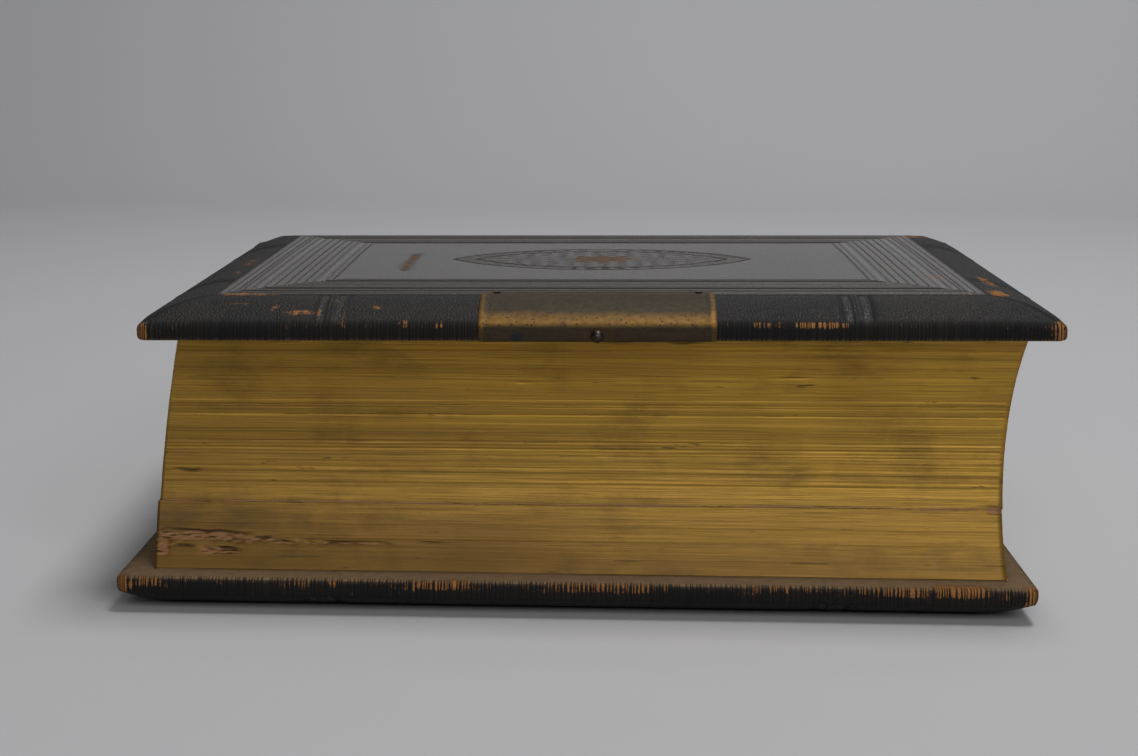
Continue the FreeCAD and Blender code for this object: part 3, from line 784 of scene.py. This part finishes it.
def barMarks(a, b):
    # a plain pressed bar with a row of lozenges, where a title would stand
    a = np.abs(a - bar["placeA"])
    b = b - bar["placeB"]
    body = smooth((bar["halfWide"] - a) / 0.6) * smooth((bar["halfLong"] - np.abs(b)) / 0.6)
    fromMiddle = np.abs(np.mod(b, bar["pitch"]) - bar["pitch"] / 2)
    lozenge = smooth((bar["lozenge"] - fromMiddle - a * 0.9) / 0.5)
    return marks(body * (0.15 + 0.25 * lozenge), 0.3 * body * lozenge, 0, body * (0.45 + 0.45 * lozenge))


endTies = (-62.0, 62.0)


def frontMarks(a, b):
    return together(tieMarks(a, b, (-94.6, 90.0), endTies), mitreMarks(a, b), medallionMarks(a, b),
                    barMarks(a, b))


def backMarks(a, b):
    return together(tieMarks(a, b, (-90.0, 90.0), endTies), mitreMarks(a, b))


def frontArris(h):
    # the front cover's rim is worn along its upper side
    return smooth((h - 3.9) / 1.4)


def frontScuffs(h):
    return smooth((h - 3.9) / 1.2)


def backArris(h):
    # the back cover's rim is worn where hands lift it, and a little on its other side
    return smooth((3.6 - h) / 2.0) * smooth((h - 0.02) / 0.3) + 0.4 * hill(h - 5.6, 0.9)


def backScuffs(h):
    return smooth((4.4 - h) / 2.0)


board = dict(inset=1.6, below=1.25, floor=0.8, bevelRun=3.0, bevelSteps=16, stepsLong=42, stepsWide=34)


def buildBoard(name, place, body, node, puff):
    # the board inside the leather: the cover's form less the leather's thickness
    rise = np.linspace(0, cover["bevelWidth"] + board["bevelRun"], board["bevelSteps"])
    places = []
    for full, steps in ((boardLength, board["stepsLong"]), (boardWidth, board["stepsWide"])):
        half = full / 2 - board["inset"]
        flat = np.linspace(-half, half, steps)[5:-5]
        places.append(np.unique(np.round(np.concatenate([-half + rise, flat, half - rise[::-1]]), 3)))
    a, b = np.meshgrid(*places)
    rows, columns = a.shape
    count = rows * columns
    top = toWorld(place, a, b, coverHeight(a, b, puff) - board["below"])
    bottom = toWorld(place, a, b, np.full_like(a, board["floor"]))
    faces = [gridFaces(rows, columns), gridFaces(rows, columns, count, True), wallFaces(rows, columns)]
    if place["out"][2] < 0:
        faces = [block[:, ::-1] for block in faces]
    piece = meshPiece(name, np.vstack([top, bottom]), faces, millboard)
    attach(piece, body)
    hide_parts(node)
    return piece


print("covers")
buildBoard("front_board_core", frontCover, "front_cover", "front_board", 0.9)
buildBoard("back_board_core", backCover, "back_cover", "back_board", 0.0)
frontPiece = coverLeather("front_cover_skin", frontCover, "front_cover", dict(
    puff=0.9, seed=3, arrisWear=0.20, cornerWear=4.4, marks=frontMarks, dust=0.6,
    arrisBand=frontArris, scuffBand=frontScuffs,
    spansA=[(-162.5, -104, 3.25), (-104, 104, 2.4), (104, 162.6, 3.25), (-100.2, -89.0, 0.6),
            (84.4, 95.8, 0.6)],
    spansB=[(-128, -78, 3.2), (-78, 86, 2.8), (86, 128.1, 3.2), (-67.6, -56.4, 0.6), (56.4, 67.6, 0.6)],
    scuffs=[(-128, -115.7, 5.5, 1.3, 0.62), (-115, -117.8, 1.2, 4.5, 0.6), (-106.5, -121.6, 7, 2.0, 0.66),
            (-98.5, -121, 1.0, 8, 0.5), (-89.5, -123, 1.0, 6, 0.48), (-94, -113, 3, 1.4, 0.5),
            (-126, -103.4, 12.5, 1.1, 0.72), (130, -102.4, 10, 0.9, 0.62), (145, -62, 3.2, 20, 0.62),
            (76, -127.6, 11, 1.0, 0.80), (58, -127.4, 7, 0.8, 0.5), (138, 99, 14, 6, 0.55),
            (-78.6, -118.8, 2.6, 2.0, 0.62), (-68.3, -127.4, 1.5, 2.0, 0.6), (-55.7, -127.4, 1.5, 2.0, 0.5),
            (-137, -78, 3.4, 7, 0.5), (-141.5, -35, 2.6, 8, 0.5), (-143, -4, 3.5, 16, 0.45),
            (143, -98, 4, 9, 0.8), (126, -60, 5, 16, 0.5), (112, -36, 4, 14, 0.42),
            (-128, -96, 3, 8, 0.45)]))
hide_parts("front_cover_leather")

backPiece = coverLeather("back_cover_skin", backCover, "back_cover", dict(
    puff=0.0, seed=8, arrisWear=0.40, cornerWear=5.0, marks=backMarks, dust=1.0,
    arrisBand=backArris, scuffBand=backScuffs,
    spansA=[(-162.5, 162.6, 3.25), (-95.6, -84.4, 0.6), (84.4, 95.6, 0.6)],
    spansB=[(-128, 128.1, 3.2), (-67.6, -56.4, 0.6), (56.4, 67.6, 0.6)],
    scuffs=[(-150, -127.6, 8, 1.6, 0.5), (-47, -127.6, 16, 1.0, 0.62), (-44, -126.0, 4, 2.4, 0.62),
            (10, -127.6, 26, 0.9, 0.56), (122, -127.6, 34, 0.9, 0.56), (66, -127.6, 14, 0.8, 0.4),
            (135, -126, 12, 3.5, 0.85)]))
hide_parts("back_cover_leather")


# the leaves: rings of points at each leaf, from the lowest to the highest

leaves = dict(low=13.65, high=97.3, tailLow=-149.8, tailHigh=-141.7, headLow=153.1, headHigh=157.4,
              headHollow=2.2, foreLow=-116.6, foreHigh=-111.4, foreHollow=14.5, backY=132.0,
              shoulder=3.0, tipDrop=4.35, spineRound=15.0, tailSwell=4.0,
              count=262, gatherings=44, uneven=0.10, rough=0.03, slitWidth=0.0022,
              bendFrom=0.93, bendRun=0.07, fault=0.265, faultStep=1.3, faultSharp=0.0008,
              faultWidth=0.0036, faultShares=[0.2625, 0.2645, 0.2655], slitAbove=0.272, sag=0.002)

# damage to the gilt edge near the fault and the tail: place along x, height, half length, half height,
# fall along x, strength
damage = dict(
    flakes=[(-134, 23.6, 17, 1.5, 0.03, 0.80), (-128, 19.3, 7.5, 1.3, 0.03, 0.85),
            (-149, 20.5, 3.0, 3.2, 0, 0.8), (-110, 22.4, 14, 0.7, 0.02, 0.55),
            (-80, 22.0, 16, 0.5, 0.0, 0.45), (150, 36, 3.0, 1.6, 0, 0.8)],
    cracks=[(-133, 25.3, 17, 0.40, 0.04, 0.95), (-113, 23.3, 3.6, 0.40, 0.0, 1.0),
            (-141, 20.6, 4, 0.4, 0, 0.9), (-125, 19.6, 4, 0.4, 0, 0.9), (-97, 23.2, 4, 0.3, 0, 0.8),
            (-84, 22.4, 7, 0.3, 0, 0.7), (-52, 22.6, 4, 0.3, 0, 0.6), (-141, 46.0, 5, 0.45, 0, 0.9),
            (37, 96.4, 7, 0.4, 0, 0.8), (-20, 80, 3, 0.3, 0, 0.5), (14, 97, 4, 0.3, 0, 0.7),
            (76, 83, 5, 0.3, 0, 0.6)])


def spineBack(u, x):
    # the leaves' rounded back: a circle's arc between the two shoulder tips, at the share u
    lowY, lowZ = leaves["backY"] + leaves["shoulder"], leaves["tipDrop"]
    highY = lowY + shiftY
    highZ = bookHeight - leaves["tipDrop"] + slope * x
    chord = np.hypot(highY - lowY, highZ - lowZ)
    off = bow(u, chord, leaves["spineRound"])
    y = lowY + (highY - lowY) * u + off * (highZ - lowZ) / chord
    z = lowZ + (highZ - lowZ) * u - off * (highY - lowY) / chord
    return y, z


def leaningX(z, low, high, rise):
    # a leaning line over the leaves' height, bowed towards the tail by a circle's arc
    chord = leaves["high"] - leaves["low"]
    t = np.clip((z - leaves["low"]) / chord, 0, 1)
    return low + (high - low) * t - bow(t, chord, rise)


def headX(z):
    # the head end is hollow
    return leaningX(z, leaves["headLow"], leaves["headHigh"], leaves["headHollow"])


def tailX(z):
    # the tail end is swollen
    return leaningX(z, leaves["tailLow"], leaves["tailHigh"], leaves["tailSwell"])


def leafRows():
    # how far each leaf stands in or out: gatherings of a few leaves, each set a little differently,
    # with a slit between some, which the gilding paints dark as shade
    share = np.linspace(0, 1, leaves["count"])
    share = np.sort(np.concatenate([share, leaves["faultShares"]]))
    edges = np.sort(rng.uniform(0, 1, leaves["gatherings"]))
    group = np.searchsorted(edges, share)
    offsets = rng.normal(0, leaves["uneven"], len(edges) + 1)
    shift = offsets[group]
    gap = np.abs(share[:, None] - edges[None, :]).min(1)
    weight = rng.uniform(0, 1, len(edges)) ** 2.5
    nearest = np.abs(share[:, None] - edges[None, :]).argmin(1)
    slit = hill(gap, leaves["slitWidth"]) * weight[nearest]
    shift = shift - 0.5 * slit + rng.normal(0, leaves["rough"], len(share))
    return share, shift, slit


def buildLeaves():
    # each ring runs along the fore edge, up the head side, back along the spine and down the tail side;
    # x and y are shares of the fore edge and of a side, with more points near the tail and the bend
    share, shift, slit = leafRows()
    rows = len(share)
    x = np.concatenate([np.linspace(0, 0.22, 64), np.linspace(0.2275, 1, 104)])
    y = np.concatenate([np.linspace(0, 0.9, 44), np.linspace(0.91, 1, 14)])
    sx = np.linspace(0, 1, 40)
    k = share[:, None]
    low, high = leaves["low"], leaves["high"]

    def leafZ(k, part, atX):
        # a leaf lies level, and bends to its place on the rounded back behind the boards
        level = low + (high - low) * k + slope * atX * k
        backZ = spineBack(k, atX)[1]
        bend = smooth((part - leaves["bendFrom"]) / leaves["bendRun"])
        return level + (backZ - level) * bend

    foreY = leaves["foreLow"] + (leaves["foreHigh"] - leaves["foreLow"]) * k
    foreY = foreY + bow(k, high - low, leaves["foreHollow"])
    below = smooth((leaves["fault"] - k) / leaves["faultSharp"])
    outX = leaves["faultStep"] * below

    def corner(side, atZ):
        return headX(atZ) - 0.25 * outX if side > 0 else tailX(atZ) - outX * 0.6

    z0 = leafZ(k, 0.0, 0.0)
    tail, head = corner(-1, z0), corner(1, z0)
    wobble = 0.12 * waves(x * 300 + 37 * k, 5, 120.0) * np.ones((rows, len(x)))
    forePoints = [tail + (head - tail) * x, foreY - shift[:, None] - wobble - 0.25 * below,
                  leafZ(k, 0.0, tail + (head - tail) * x)]
    backY, backZ = spineBack(k, 0.0)
    sideY = foreY + (backY - foreY) * y[1:-1]
    sideZ = leafZ(k, y[1:-1], 150.0)
    headPoints = [corner(1, sideZ) - 0.4 * shift[:, None], sideY, sideZ]
    spineX = head + (tail - head) * sx
    backY, backZ = spineBack(k, spineX)
    backPoints = [corner(1, backZ) + (corner(-1, backZ) - corner(1, backZ)) * sx, backY, backZ]
    sideZ = leafZ(k, y[::-1][1:-1], -150.0)
    sideY = foreY + (spineBack(k, 0.0)[0] - foreY) * y[::-1][1:-1]
    tailPoints = [corner(-1, sideZ) + 0.4 * shift[:, None], sideY, sideZ]
    ring = (forePoints, headPoints, backPoints, tailPoints)
    points = np.stack([np.hstack([np.broadcast_to(part[axis], part[2].shape) for part in ring])
                       for axis in range(3)], -1)
    columns = points.shape[1]
    px, pz = points[..., 0], points[..., 2]
    fore = (np.arange(columns) < len(x))[None, :]

    # values for the gilding: painted light and shade, lighter towards the higher leaves and the head and
    # darker on the lowest;
    # where torn; where slits run that are painted dark as shade
    light = 0.66 + 0.22 * px / 150 + 0.70 * (k - 0.5) - 0.42 * hill(k, 0.17)
    light = light + 0.10 * waves(k * 84, 12, 30.0)
    light = np.clip(light, 0, 1)
    across = waves(px + 200 * k, 21, 60.0, 5)
    slits = slit[:, None] * smooth((across - 0.35) / 0.3)
    faultSag = leaves["sag"] * waves(px, 14, 160.0)
    fault = hill(k - leaves["fault"] - faultSag, leaves["faultWidth"])
    torn = 1.2 * fault * (0.9 + 0.5 * waves(px, 4, 60.0)) * np.ones_like(px)
    # a line of painted shade runs just above the fault
    slits = np.maximum(slits, 0.7 * hill(k - leaves["slitAbove"] - faultSag, 0.0025))
    for turn, (flakeX, flakeZ, longX, tallZ, fall, strength) in enumerate(damage["flakes"]):
        offX, offZ = px - flakeX, pz - flakeZ + fall * (px - flakeX)
        offZ = offZ + 0.35 * waves(px, 30 + turn, 24.0)
        flake = np.exp(-(offX / longX) ** 4 - (offZ / tallZ) ** 4) * fore
        torn = np.maximum(torn, strength * flake)
        points[..., 1] += 0.5 * flake * (1 + waves(px + pz * 31, 6, 9.0))
    # the cracks are pressed in and painted dark as the shade inside them
    for turn, (crackX, crackZ, longX, tallZ, fall, strength) in enumerate(damage["cracks"]):
        offX, offZ = px - crackX, pz - crackZ + fall * (px - crackX)
        offZ = offZ + 0.3 * waves(px, 50 + turn, 18.0)
        crack = np.exp(-(offX / longX) ** 4 - (offZ / tallZ) ** 2) * fore
        slits = np.maximum(slits, strength * crack)
        points[..., 1] += 0.7 * crack
    # the outermost leaves' faces: one level polygon, then strips that follow the bend, then the back's
    sides = len(y) - 2
    headSide = len(x) + np.arange(sides)
    back = len(x) + sides + np.arange(len(sx))
    tailSide = (len(x) + sides + len(sx) + np.arange(sides))[::-1]
    level = int((y[1:-1] <= leaves["bendFrom"]).sum())
    caps = [np.concatenate([np.arange(len(x)), headSide[:level], tailSide[:level][::-1]])[None, :],
            np.stack([headSide[level - 1:-1], headSide[level:], tailSide[level:],
                      tailSide[level - 1:-1]], -1),
            np.concatenate([headSide[-1:], back, tailSide[-1:]])[None, :]]
    top = (rows - 1) * columns
    faces = [ringFaces(rows, columns, 0, False)]
    faces += [cap[:, ::-1] for cap in caps]
    faces += [cap + top for cap in caps]
    piece = meshPiece("leaves", points, faces, gilt, dict(light=light, torn=torn, slit=slits))
    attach(piece, "book_block")
    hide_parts("text_block")
    return piece


print("leaves")
buildLeaves()


# spine leather: a profile over the rounded back, carried along the book, with raised bands

spine = dict(stack=2.45, leather=1.0, drop=3.3, hingeGap=0.2, bandPitch=52.0, bandHeight=2.4,
             bandHalf=3.6, lip=1.3, lipRun=11.0, grooveDepth=1.6, groovePlace=3.4, grooveWidth=2.2,
             endDrop=3.4, endDropFrom=149.0, endDropRun=13.0, flatSteps=60, arcSteps=300, blurs=26,
             across=104, leanFrom=112.0, leanRun=40.0, lineFromBand=7.0, lineFromEnd=9.0, lineDeep=0.35,
             bands=5, finestRow=0.45, steps=60, outermost=161.0)


def spineProfile(x, count):
    # from the lower hinge round the back to the upper hinge; shares run evenly by length
    fall = spine["drop"] + spine["endDrop"] * smooth((abs(x) - spine["endDropFrom"]) / spine["endDropRun"])
    lowZ = fall
    highZ = bookHeight - fall + slope * x
    hinge = boardWidth / 2 + spine["hingeGap"]
    out = spine["stack"] + spine["leather"]
    tipLow = leaves["backY"] + leaves["shoulder"] + out
    tipHigh = tipLow + shiftY
    flat = np.linspace(0, 1, spine["flatSteps"])
    u = np.linspace(0, 1, spine["arcSteps"])
    dip = spine["grooveDepth"] * hill(flat * (tipLow - hinge) - spine["groovePlace"], spine["grooveWidth"])
    chord = np.hypot(tipHigh - tipLow, highZ - lowZ)
    off = bow(u, chord, leaves["spineRound"])
    arcY = tipLow + (tipHigh - tipLow) * u + off * (highZ - lowZ) / chord
    arcZ = lowZ + (highZ - lowZ) * u - off * (tipHigh - tipLow) / chord
    lowFlat = np.stack([hinge + flat * (tipLow - hinge), lowZ + dip])
    highFlat = np.stack([hinge + shiftY + flat * (tipHigh - hinge - shiftY), highZ - dip])[:, ::-1]
    line = np.hstack([lowFlat[:, :-1], np.stack([arcY, arcZ]), highFlat[:, 1:]])
    inArc = np.pad(np.ones(spine["arcSteps"]), spine["flatSteps"] - 1)
    line = blur(line, spine["blurs"])
    inArc = blur(inArc, spine["blurs"])
    length = lengthAlong(line)
    even = np.linspace(0, length[-1], count)
    yz = np.stack([np.interp(even, length, line[0]), np.interp(even, length, line[1])])
    return yz, np.interp(even, length, inArc)


def buildSpine():
    count = spine["across"]
    bands = (np.arange(spine["bands"]) - spine["bands"] // 2) * spine["bandPitch"]
    near = np.array([-6.5, -5, -4.2, -3.6, -3.0, -2.2, -1.2, 0, 1.2, 2.2, 3.0, 3.6, 4.2, 5, 6.5])
    even = np.linspace(-spine["outermost"], spine["outermost"], spine["steps"])
    x = np.concatenate([even] + [band + near for band in bands]
                       + [np.array([-158, -155, -152]), np.array([152, 155, 158])])
    x = thinned(np.unique(np.round(x, 1)), spine["finestRow"])
    half = boardLength / 2
    turn = np.linspace(0, np.pi, 9)
    radius = spine["lip"]
    # rows: the outer skin from tail to head, round the head lip, back inside, round the tail lip
    lipX = half - radius + radius * np.sin(turn)
    lipOff = -radius + radius * np.cos(turn)
    insideX = np.linspace(half - radius, -half + radius, 24)[1:-1]
    rowX = np.concatenate([x, lipX, insideX, -lipX])
    toLip = smooth((np.abs(insideX) - half + spine["lipRun"]) / 8)
    thick = spine["leather"] + (2 * radius - spine["leather"]) * toLip
    offset = np.concatenate([np.zeros(len(x)), lipOff, -thick, lipOff[::-1]])
    isOuter = np.concatenate([np.ones(len(x)), np.zeros(len(rowX) - len(x))])
    rows = len(rowX)
    points = np.zeros((rows, count, 3))
    wear = np.zeros((rows, count))
    ruled = np.zeros((rows, count))
    for row in range(rows):
        yz, inArc = spineProfile(rowX[row], count)
        d = rowX[row] - bands
        lift = (spine["bandHeight"] / (1 + (np.abs(d) / spine["bandHalf"]) ** 8)).sum() * isOuter[row]
        line = (hill(np.abs(d) - spine["lineFromBand"], 0.55) * spine["lineDeep"]).sum() * isOuter[row]
        fromEnd = np.abs(rowX[row]) - half + spine["lineFromEnd"]
        edgeLine = hill(fromEnd, 0.6) * spine["lineDeep"] * isOuter[row]
        toJoint = (np.linspace(0, 1, count) * (1 - np.linspace(0, 1, count))) * 4
        out = offset[row] + (lift * smooth((toJoint - 0.22) / 0.22) - line - edgeLine) * inArc
        point = yz + normalsOf(yz) * out
        # the ends lean with the covers; the bands stand upright over their cards
        toEnds = smooth((abs(rowX[row]) - spine["leanFrom"]) / spine["leanRun"])
        lean = shiftX * point[1] / bookHeight * toEnds
        points[row] = np.stack([rowX[row] + lean, point[0], point[1]], -1)
        middle = np.linspace(-1, 1, count)
        wear[row] = (0.45 * hill(d / 2.6, 1.0).sum() + 0.25 * hill(middle, 0.4)
                     + 0.5 * hill(np.abs(rowX[row]) - half, 3.0)) * isOuter[row] * inArc
        wear[row] += 0.6 * (1 - isOuter[row]) * hill(offset[row], 1.0)
        ruled[row] = np.clip((line + edgeLine) * 3, 0, 1) * inArc
    # the skin closes on itself lengthwise: its last row joins its first
    index = np.arange(rows * count).reshape(rows, count)
    after = np.roll(index, -1, axis=0)
    quads = np.stack([index[:, 1:], after[:, 1:], after[:, :-1], index[:, :-1]], -1).reshape(-1, 4)
    ends = [index[:, 0][None, :], index[::-1, -1][None, :]]
    along = np.broadcast_to(rowX[:, None], (rows, count))
    # the ruled lines are painted dark as shade through groove, and with sheen through gloss
    piece = meshPiece("spine_skin", points, [quads] + ends, leather,
                      dict(wear=wear, groove=ruled * 0.8, gloss=ruled, along=along))
    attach(piece, "book_block")
    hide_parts("spine_leather")
    return piece


print("spine")
buildSpine()


# endbands: a roll along the leaves' back, wound with thread in two colours

endband = dict(radius=1.5, turns=96, steps=420, sides=14, start=0.03, ripple=0.07, taper=0.008,
               headAt=155.0, tailAt=-145.0, gap=0.1, threads=3)


def buildEndband(name, side):
    # a circle carried along the back's arc, its radius rippled once for each turn of thread
    u = np.linspace(endband["start"], 1 - endband["start"], endband["steps"])[:, None]
    angle = np.linspace(0, 2 * np.pi, endband["sides"], endpoint=False)[None, :]
    y, z = spineBack(u, endband["headAt"] if side > 0 else endband["tailAt"])
    radius = endband["radius"] * (1 + endband["ripple"] * np.cos(u * endband["turns"] * 2 * np.pi + angle))
    fromTip = np.minimum(u, 1 - u) - endband["start"]
    radius = radius * (0.15 + 0.85 * smooth(fromTip / endband["taper"]))
    ends = headX(z) if side > 0 else tailX(z)
    x = ends + side * (0.15 + endband["radius"] + endband["gap"]) + radius * np.sin(angle)
    y = y - endband["radius"] - endband["gap"] + radius * np.cos(angle)
    points = np.stack([x, y, z + 0 * angle], -1)
    stripes = np.mod(np.floor(u * endband["turns"] / endband["threads"]), 2) + 0 * angle
    rows, columns = points.shape[:2]
    faces = [ringFaces(rows, columns, 0, True)] + endFaces(rows, columns, True)
    piece = meshPiece(name, points, faces, endbandSilk, dict(stripe=stripes))
    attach(piece, "book_block")
    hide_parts("head_endband" if side > 0 else "tail_endband")
    return piece


buildEndband("endband_head_silk", 1)
buildEndband("endband_tail_silk", -1)


# brass catch plate: a strip over the front cover's bevel and edge, with raised side rims

plate = dict(halfWide=41.5, shift=-0.95, reach=25.4, thick=0.8, gap=0.05, chamfer=3.0, rim=2.6,
             puff=0.9, fineSide=4.5, fineSteps=16, wideSteps=60, longSteps=46, dropSteps=12,
             rimHigh=0.12, topRimHigh=0.10, lineDeep=0.06, linePlace=3.4, rounding=0.35, dents=0.05,
             stainA=-28.0, stainBelow=4.0)


def buildPlate():
    # a: along the book; s: the way from the plate's top over the bevel, round the rim and down the edge
    side = np.linspace(plate["halfWide"] - plate["fineSide"], plate["halfWide"], plate["fineSteps"])
    wide = np.linspace(1 - side[0], side[0] - 1, plate["wideSteps"])
    across = np.concatenate([-side[::-1], wide, side])
    inset = np.concatenate([np.linspace(plate["reach"], 2.0, plate["longSteps"]), [1.2, 0.6, 0.2, 0.0]])
    drop = np.linspace(0, 1, plate["dropSteps"])[1:]
    face = coverHeight(0.0, inset - boardWidth / 2, plate["puff"])
    line = np.stack([np.concatenate([inset, 0.0 * drop]) - boardWidth / 2,
                     np.concatenate([face, face[-1] * (1 - drop)])])
    line = blur(line, 2)
    normal = normalsOf(line)
    length = lengthAlong(line)
    s = length[:, None]
    # the top corners are cut off: the width narrows over the chamfer
    half = plate["halfWide"] - np.clip(plate["chamfer"] - s, 0, None)
    a = across[None, :] / plate["halfWide"] * half
    fromSide = half - np.abs(a)
    rim = plate["rimHigh"] * smooth((plate["rim"] - fromSide) / 0.6)
    engraved = plate["lineDeep"] * hill(fromSide - plate["linePlace"], 0.3)
    topRim = plate["topRimHigh"] * smooth((1.4 - s) / 0.5)
    rounding = hill(fromSide, 0.45) + hill(s, 0.4) + hill(length[-1] - s, 0.35)
    rounding = plate["rounding"] * rounding
    up = plate["gap"] + plate["thick"] + np.maximum(rim, topRim) - engraved - rounding
    up = up + plate["dents"] * waves(a * 1.3 + s * 2, 31, 40.0)
    sheets = []
    for level in (up, np.full_like(a, plate["gap"])):
        acrossCover, high = line[:, :, None] + normal[:, :, None] * level
        sheets.append(toWorld(frontCover, a + plate["shift"], acrossCover, high))
    rows, columns = a.shape
    count = rows * columns
    faces = [gridFaces(rows, columns, 0, True), gridFaces(rows, columns, count),
             wallFaces(rows, columns, True)]
    bendAt = length[len(inset) - 1]
    # golden where the brass is rubbed, with painted highlights along the side rims, the top edge and the
    # bend
    polishAndHighlight = 0.55 * smooth((2.4 - fromSide) / 1.2)
    polishAndHighlight = polishAndHighlight + 0.8 * smooth((s - bendAt + 9) / 8) * smooth((bendAt + 1 - s) / 1.5)
    polishAndHighlight = polishAndHighlight + 0.5 * hill(s, 0.8) + 0.25 * hill(a / 9, 1.0) * smooth(s - bendAt)
    # painted shade on the lower face, lifted by a painted highlight along its bottom rim
    shade = 0.62 * smooth((s - bendAt - 0.4) / 0.8) - 0.4 * hill(length[-1] - s, 0.5)
    stain = hill(np.hypot((a - plate["stainA"]) / 2.6, (s - bendAt - plate["stainBelow"]) / 2.4), 1.0)
    blank = np.zeros(count)
    values = {}
    for key, value in dict(polishAndHighlight=polishAndHighlight, shade=shade, stain=stain).items():
        values[key] = np.concatenate([np.broadcast_to(value, a.shape).ravel(), blank])
    piece = meshPiece("catch_plate_brass", np.vstack(sheets), faces, brass, values)
    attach(piece, "front_cover")
    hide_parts("catch_plate")
    return piece


def lathe(name, profile, centre, axis, side, material, body, sides=28):
    # a profile of (distance along the axis, radius) turned round the axis
    profile = np.array(profile)
    axis = np.array(axis, float)
    side = np.array(side, float)
    other = np.cross(axis, side)
    angle = np.linspace(0, 2 * np.pi, sides, endpoint=False)
    ring = np.cos(angle)[:, None] * side + np.sin(angle)[:, None] * other
    points = centre + profile[:, 0][:, None, None] * axis + profile[:, 1][:, None, None] * ring[None]
    rows = len(profile)
    piece = meshPiece(name, points, [ringFaces(rows, sides)] + endFaces(rows, sides), material)
    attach(piece, body)
    return piece


print("catch")
buildPlate()

studLow, studHigh = boxOf("catch_stud")
stud = dict(ball=2.3, neck=1.0, collar=1.7, shank=9.0, steps=18)
ballCentre = [(studLow[0] + studHigh[0]) / 2, studLow[1] + stud["ball"], (studLow[2] + studHigh[2]) / 2]
sweep = np.radians(np.linspace(154, 4, stud["steps"]))
ballProfile = [(-stud["shank"], stud["neck"]), (-2.75, stud["neck"]), (-2.7, stud["collar"]),
               (-2.35, stud["collar"]), (-2.3, stud["neck"])]
ballProfile += [(stud["ball"] * math.cos(t), stud["ball"] * math.sin(t)) for t in sweep]
studPiece = lathe("catch_stud_ball", ballProfile, np.array(ballCentre), [0, -1, 0], [1, 0, 0], darkSteel,
                  "front_cover")
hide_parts("catch_stud")

# the pieces that keep their solids only get materials
carried = dict(front_pastedown=endpaper, back_pastedown=endpaper, front_flyleaf=flyPaper,
               back_flyleaf=flyPaper, sewing_cords=hemp, spine_lining=mull, spine_hollow=spineCard,
               false_bands=spineCard, plate_pins=darkSteel)
for node, material in carried.items():
    mesh = frame["nodes"][node].data
    mesh.materials.clear()
    mesh.materials.append(material)


# floor, backdrop, light and camera

print("studio")
studioMaterial, studioTree, studioBsdf = newMaterial("paleSweep")
finish(studioTree, studioBsdf, colour=(0.42, 0.42, 0.43, 1), rough=0.9)
studio = dict(near=-3000, bend=1500, radius=700, top=2800, halfWide=4000)
turns = np.linspace(0.1, 1.5, 16)
bendY = studio["bend"] + studio["radius"] * np.sin(turns)
bendZ = studio["radius"] - studio["radius"] * np.cos(turns)
sweepY = np.concatenate([np.linspace(studio["near"], studio["bend"], 14), bendY,
                         [studio["bend"] + studio["radius"]]])
sweepZ = np.concatenate([np.zeros(14), bendZ, [studio["top"]]])
sweepX = np.linspace(-studio["halfWide"], studio["halfWide"], 9)
sweepPoints = np.stack(np.broadcast_arrays(sweepX[None, :], sweepY[:, None], sweepZ[:, None]), -1)
floorPiece = meshPiece("studio_sweep", sweepPoints, [gridFaces(len(sweepY), len(sweepX))], studioMaterial)


def softLight(name, location, target, size, power):
    lamp = bpy.data.lights.new(name, "AREA")
    lamp.shape = "RECTANGLE"
    lamp.size, lamp.size_y = size
    lamp.energy = power
    holder = bpy.data.objects.new(name, lamp)
    bpy.context.scene.collection.objects.link(holder)
    holder.location = location
    direction = mathutils.Vector(target) - mathutils.Vector(location)
    holder.rotation_euler = direction.to_track_quat("-Z", "Y").to_euler()


softLight("overheadLight", (0.35, -0.05, 1.7), (0, -0.1, 0), (1.0, 0.45), 20)
softLight("frontLight", (0.5, -2.15, 1.3), (0, 0, 0.06), (2.4, 1.0), 30)
softLight("wallLight", (0.5, 0.9, 1.6), (0.2, 2.2, 0.6), (1.8, 0.5), 15)

world = bpy.data.worlds.new("room")
bpy.context.scene.world = world
world.use_nodes = True
background = world.node_tree.nodes["Background"]
background.inputs["Color"].default_value = (0.98, 0.99, 1.0, 1)
background.inputs["Strength"].default_value = 0.07

# the camera was found by fitting the photo's corner points
eye = dict(place=(9.19, -842.6, 208.93), yaw=-0.992, pitch=9.735, roll=0.612, focalPixels=2103.8,
           imageWidth=1138.0, sensor=36.0)
yaw, pitch, roll = (math.radians(eye[key]) for key in ("yaw", "pitch", "roll"))
ahead = mathutils.Vector((math.sin(yaw), math.cos(yaw), 0))
levelRight = mathutils.Vector((math.cos(yaw), -math.sin(yaw), 0))
straightUp = mathutils.Vector((0, 0, 1))
forward = math.cos(pitch) * ahead - math.sin(pitch) * straightUp
levelUp = math.sin(pitch) * ahead + math.cos(pitch) * straightUp
right = math.cos(roll) * levelRight + math.sin(roll) * levelUp
up = -math.sin(roll) * levelRight + math.cos(roll) * levelUp
camera = bpy.data.cameras.new("photoCamera")
camera.sensor_width = eye["sensor"]
camera.sensor_fit = "HORIZONTAL"
camera.lens = eye["sensor"] * eye["focalPixels"] / eye["imageWidth"]
camera.clip_start = 0.01
cameraObject = bpy.data.objects.new("photoCamera", camera)
bpy.context.scene.collection.objects.link(cameraObject)
turnMatrix = mathutils.Matrix((right, up, -forward)).transposed()
moveMatrix = mathutils.Matrix.Translation(mathutils.Vector(eye["place"]) * mm)
cameraObject.matrix_world = moveMatrix @ turnMatrix.to_4x4()
bpy.context.scene.camera = cameraObject
bpy.context.scene.view_settings.view_transform = "Standard"
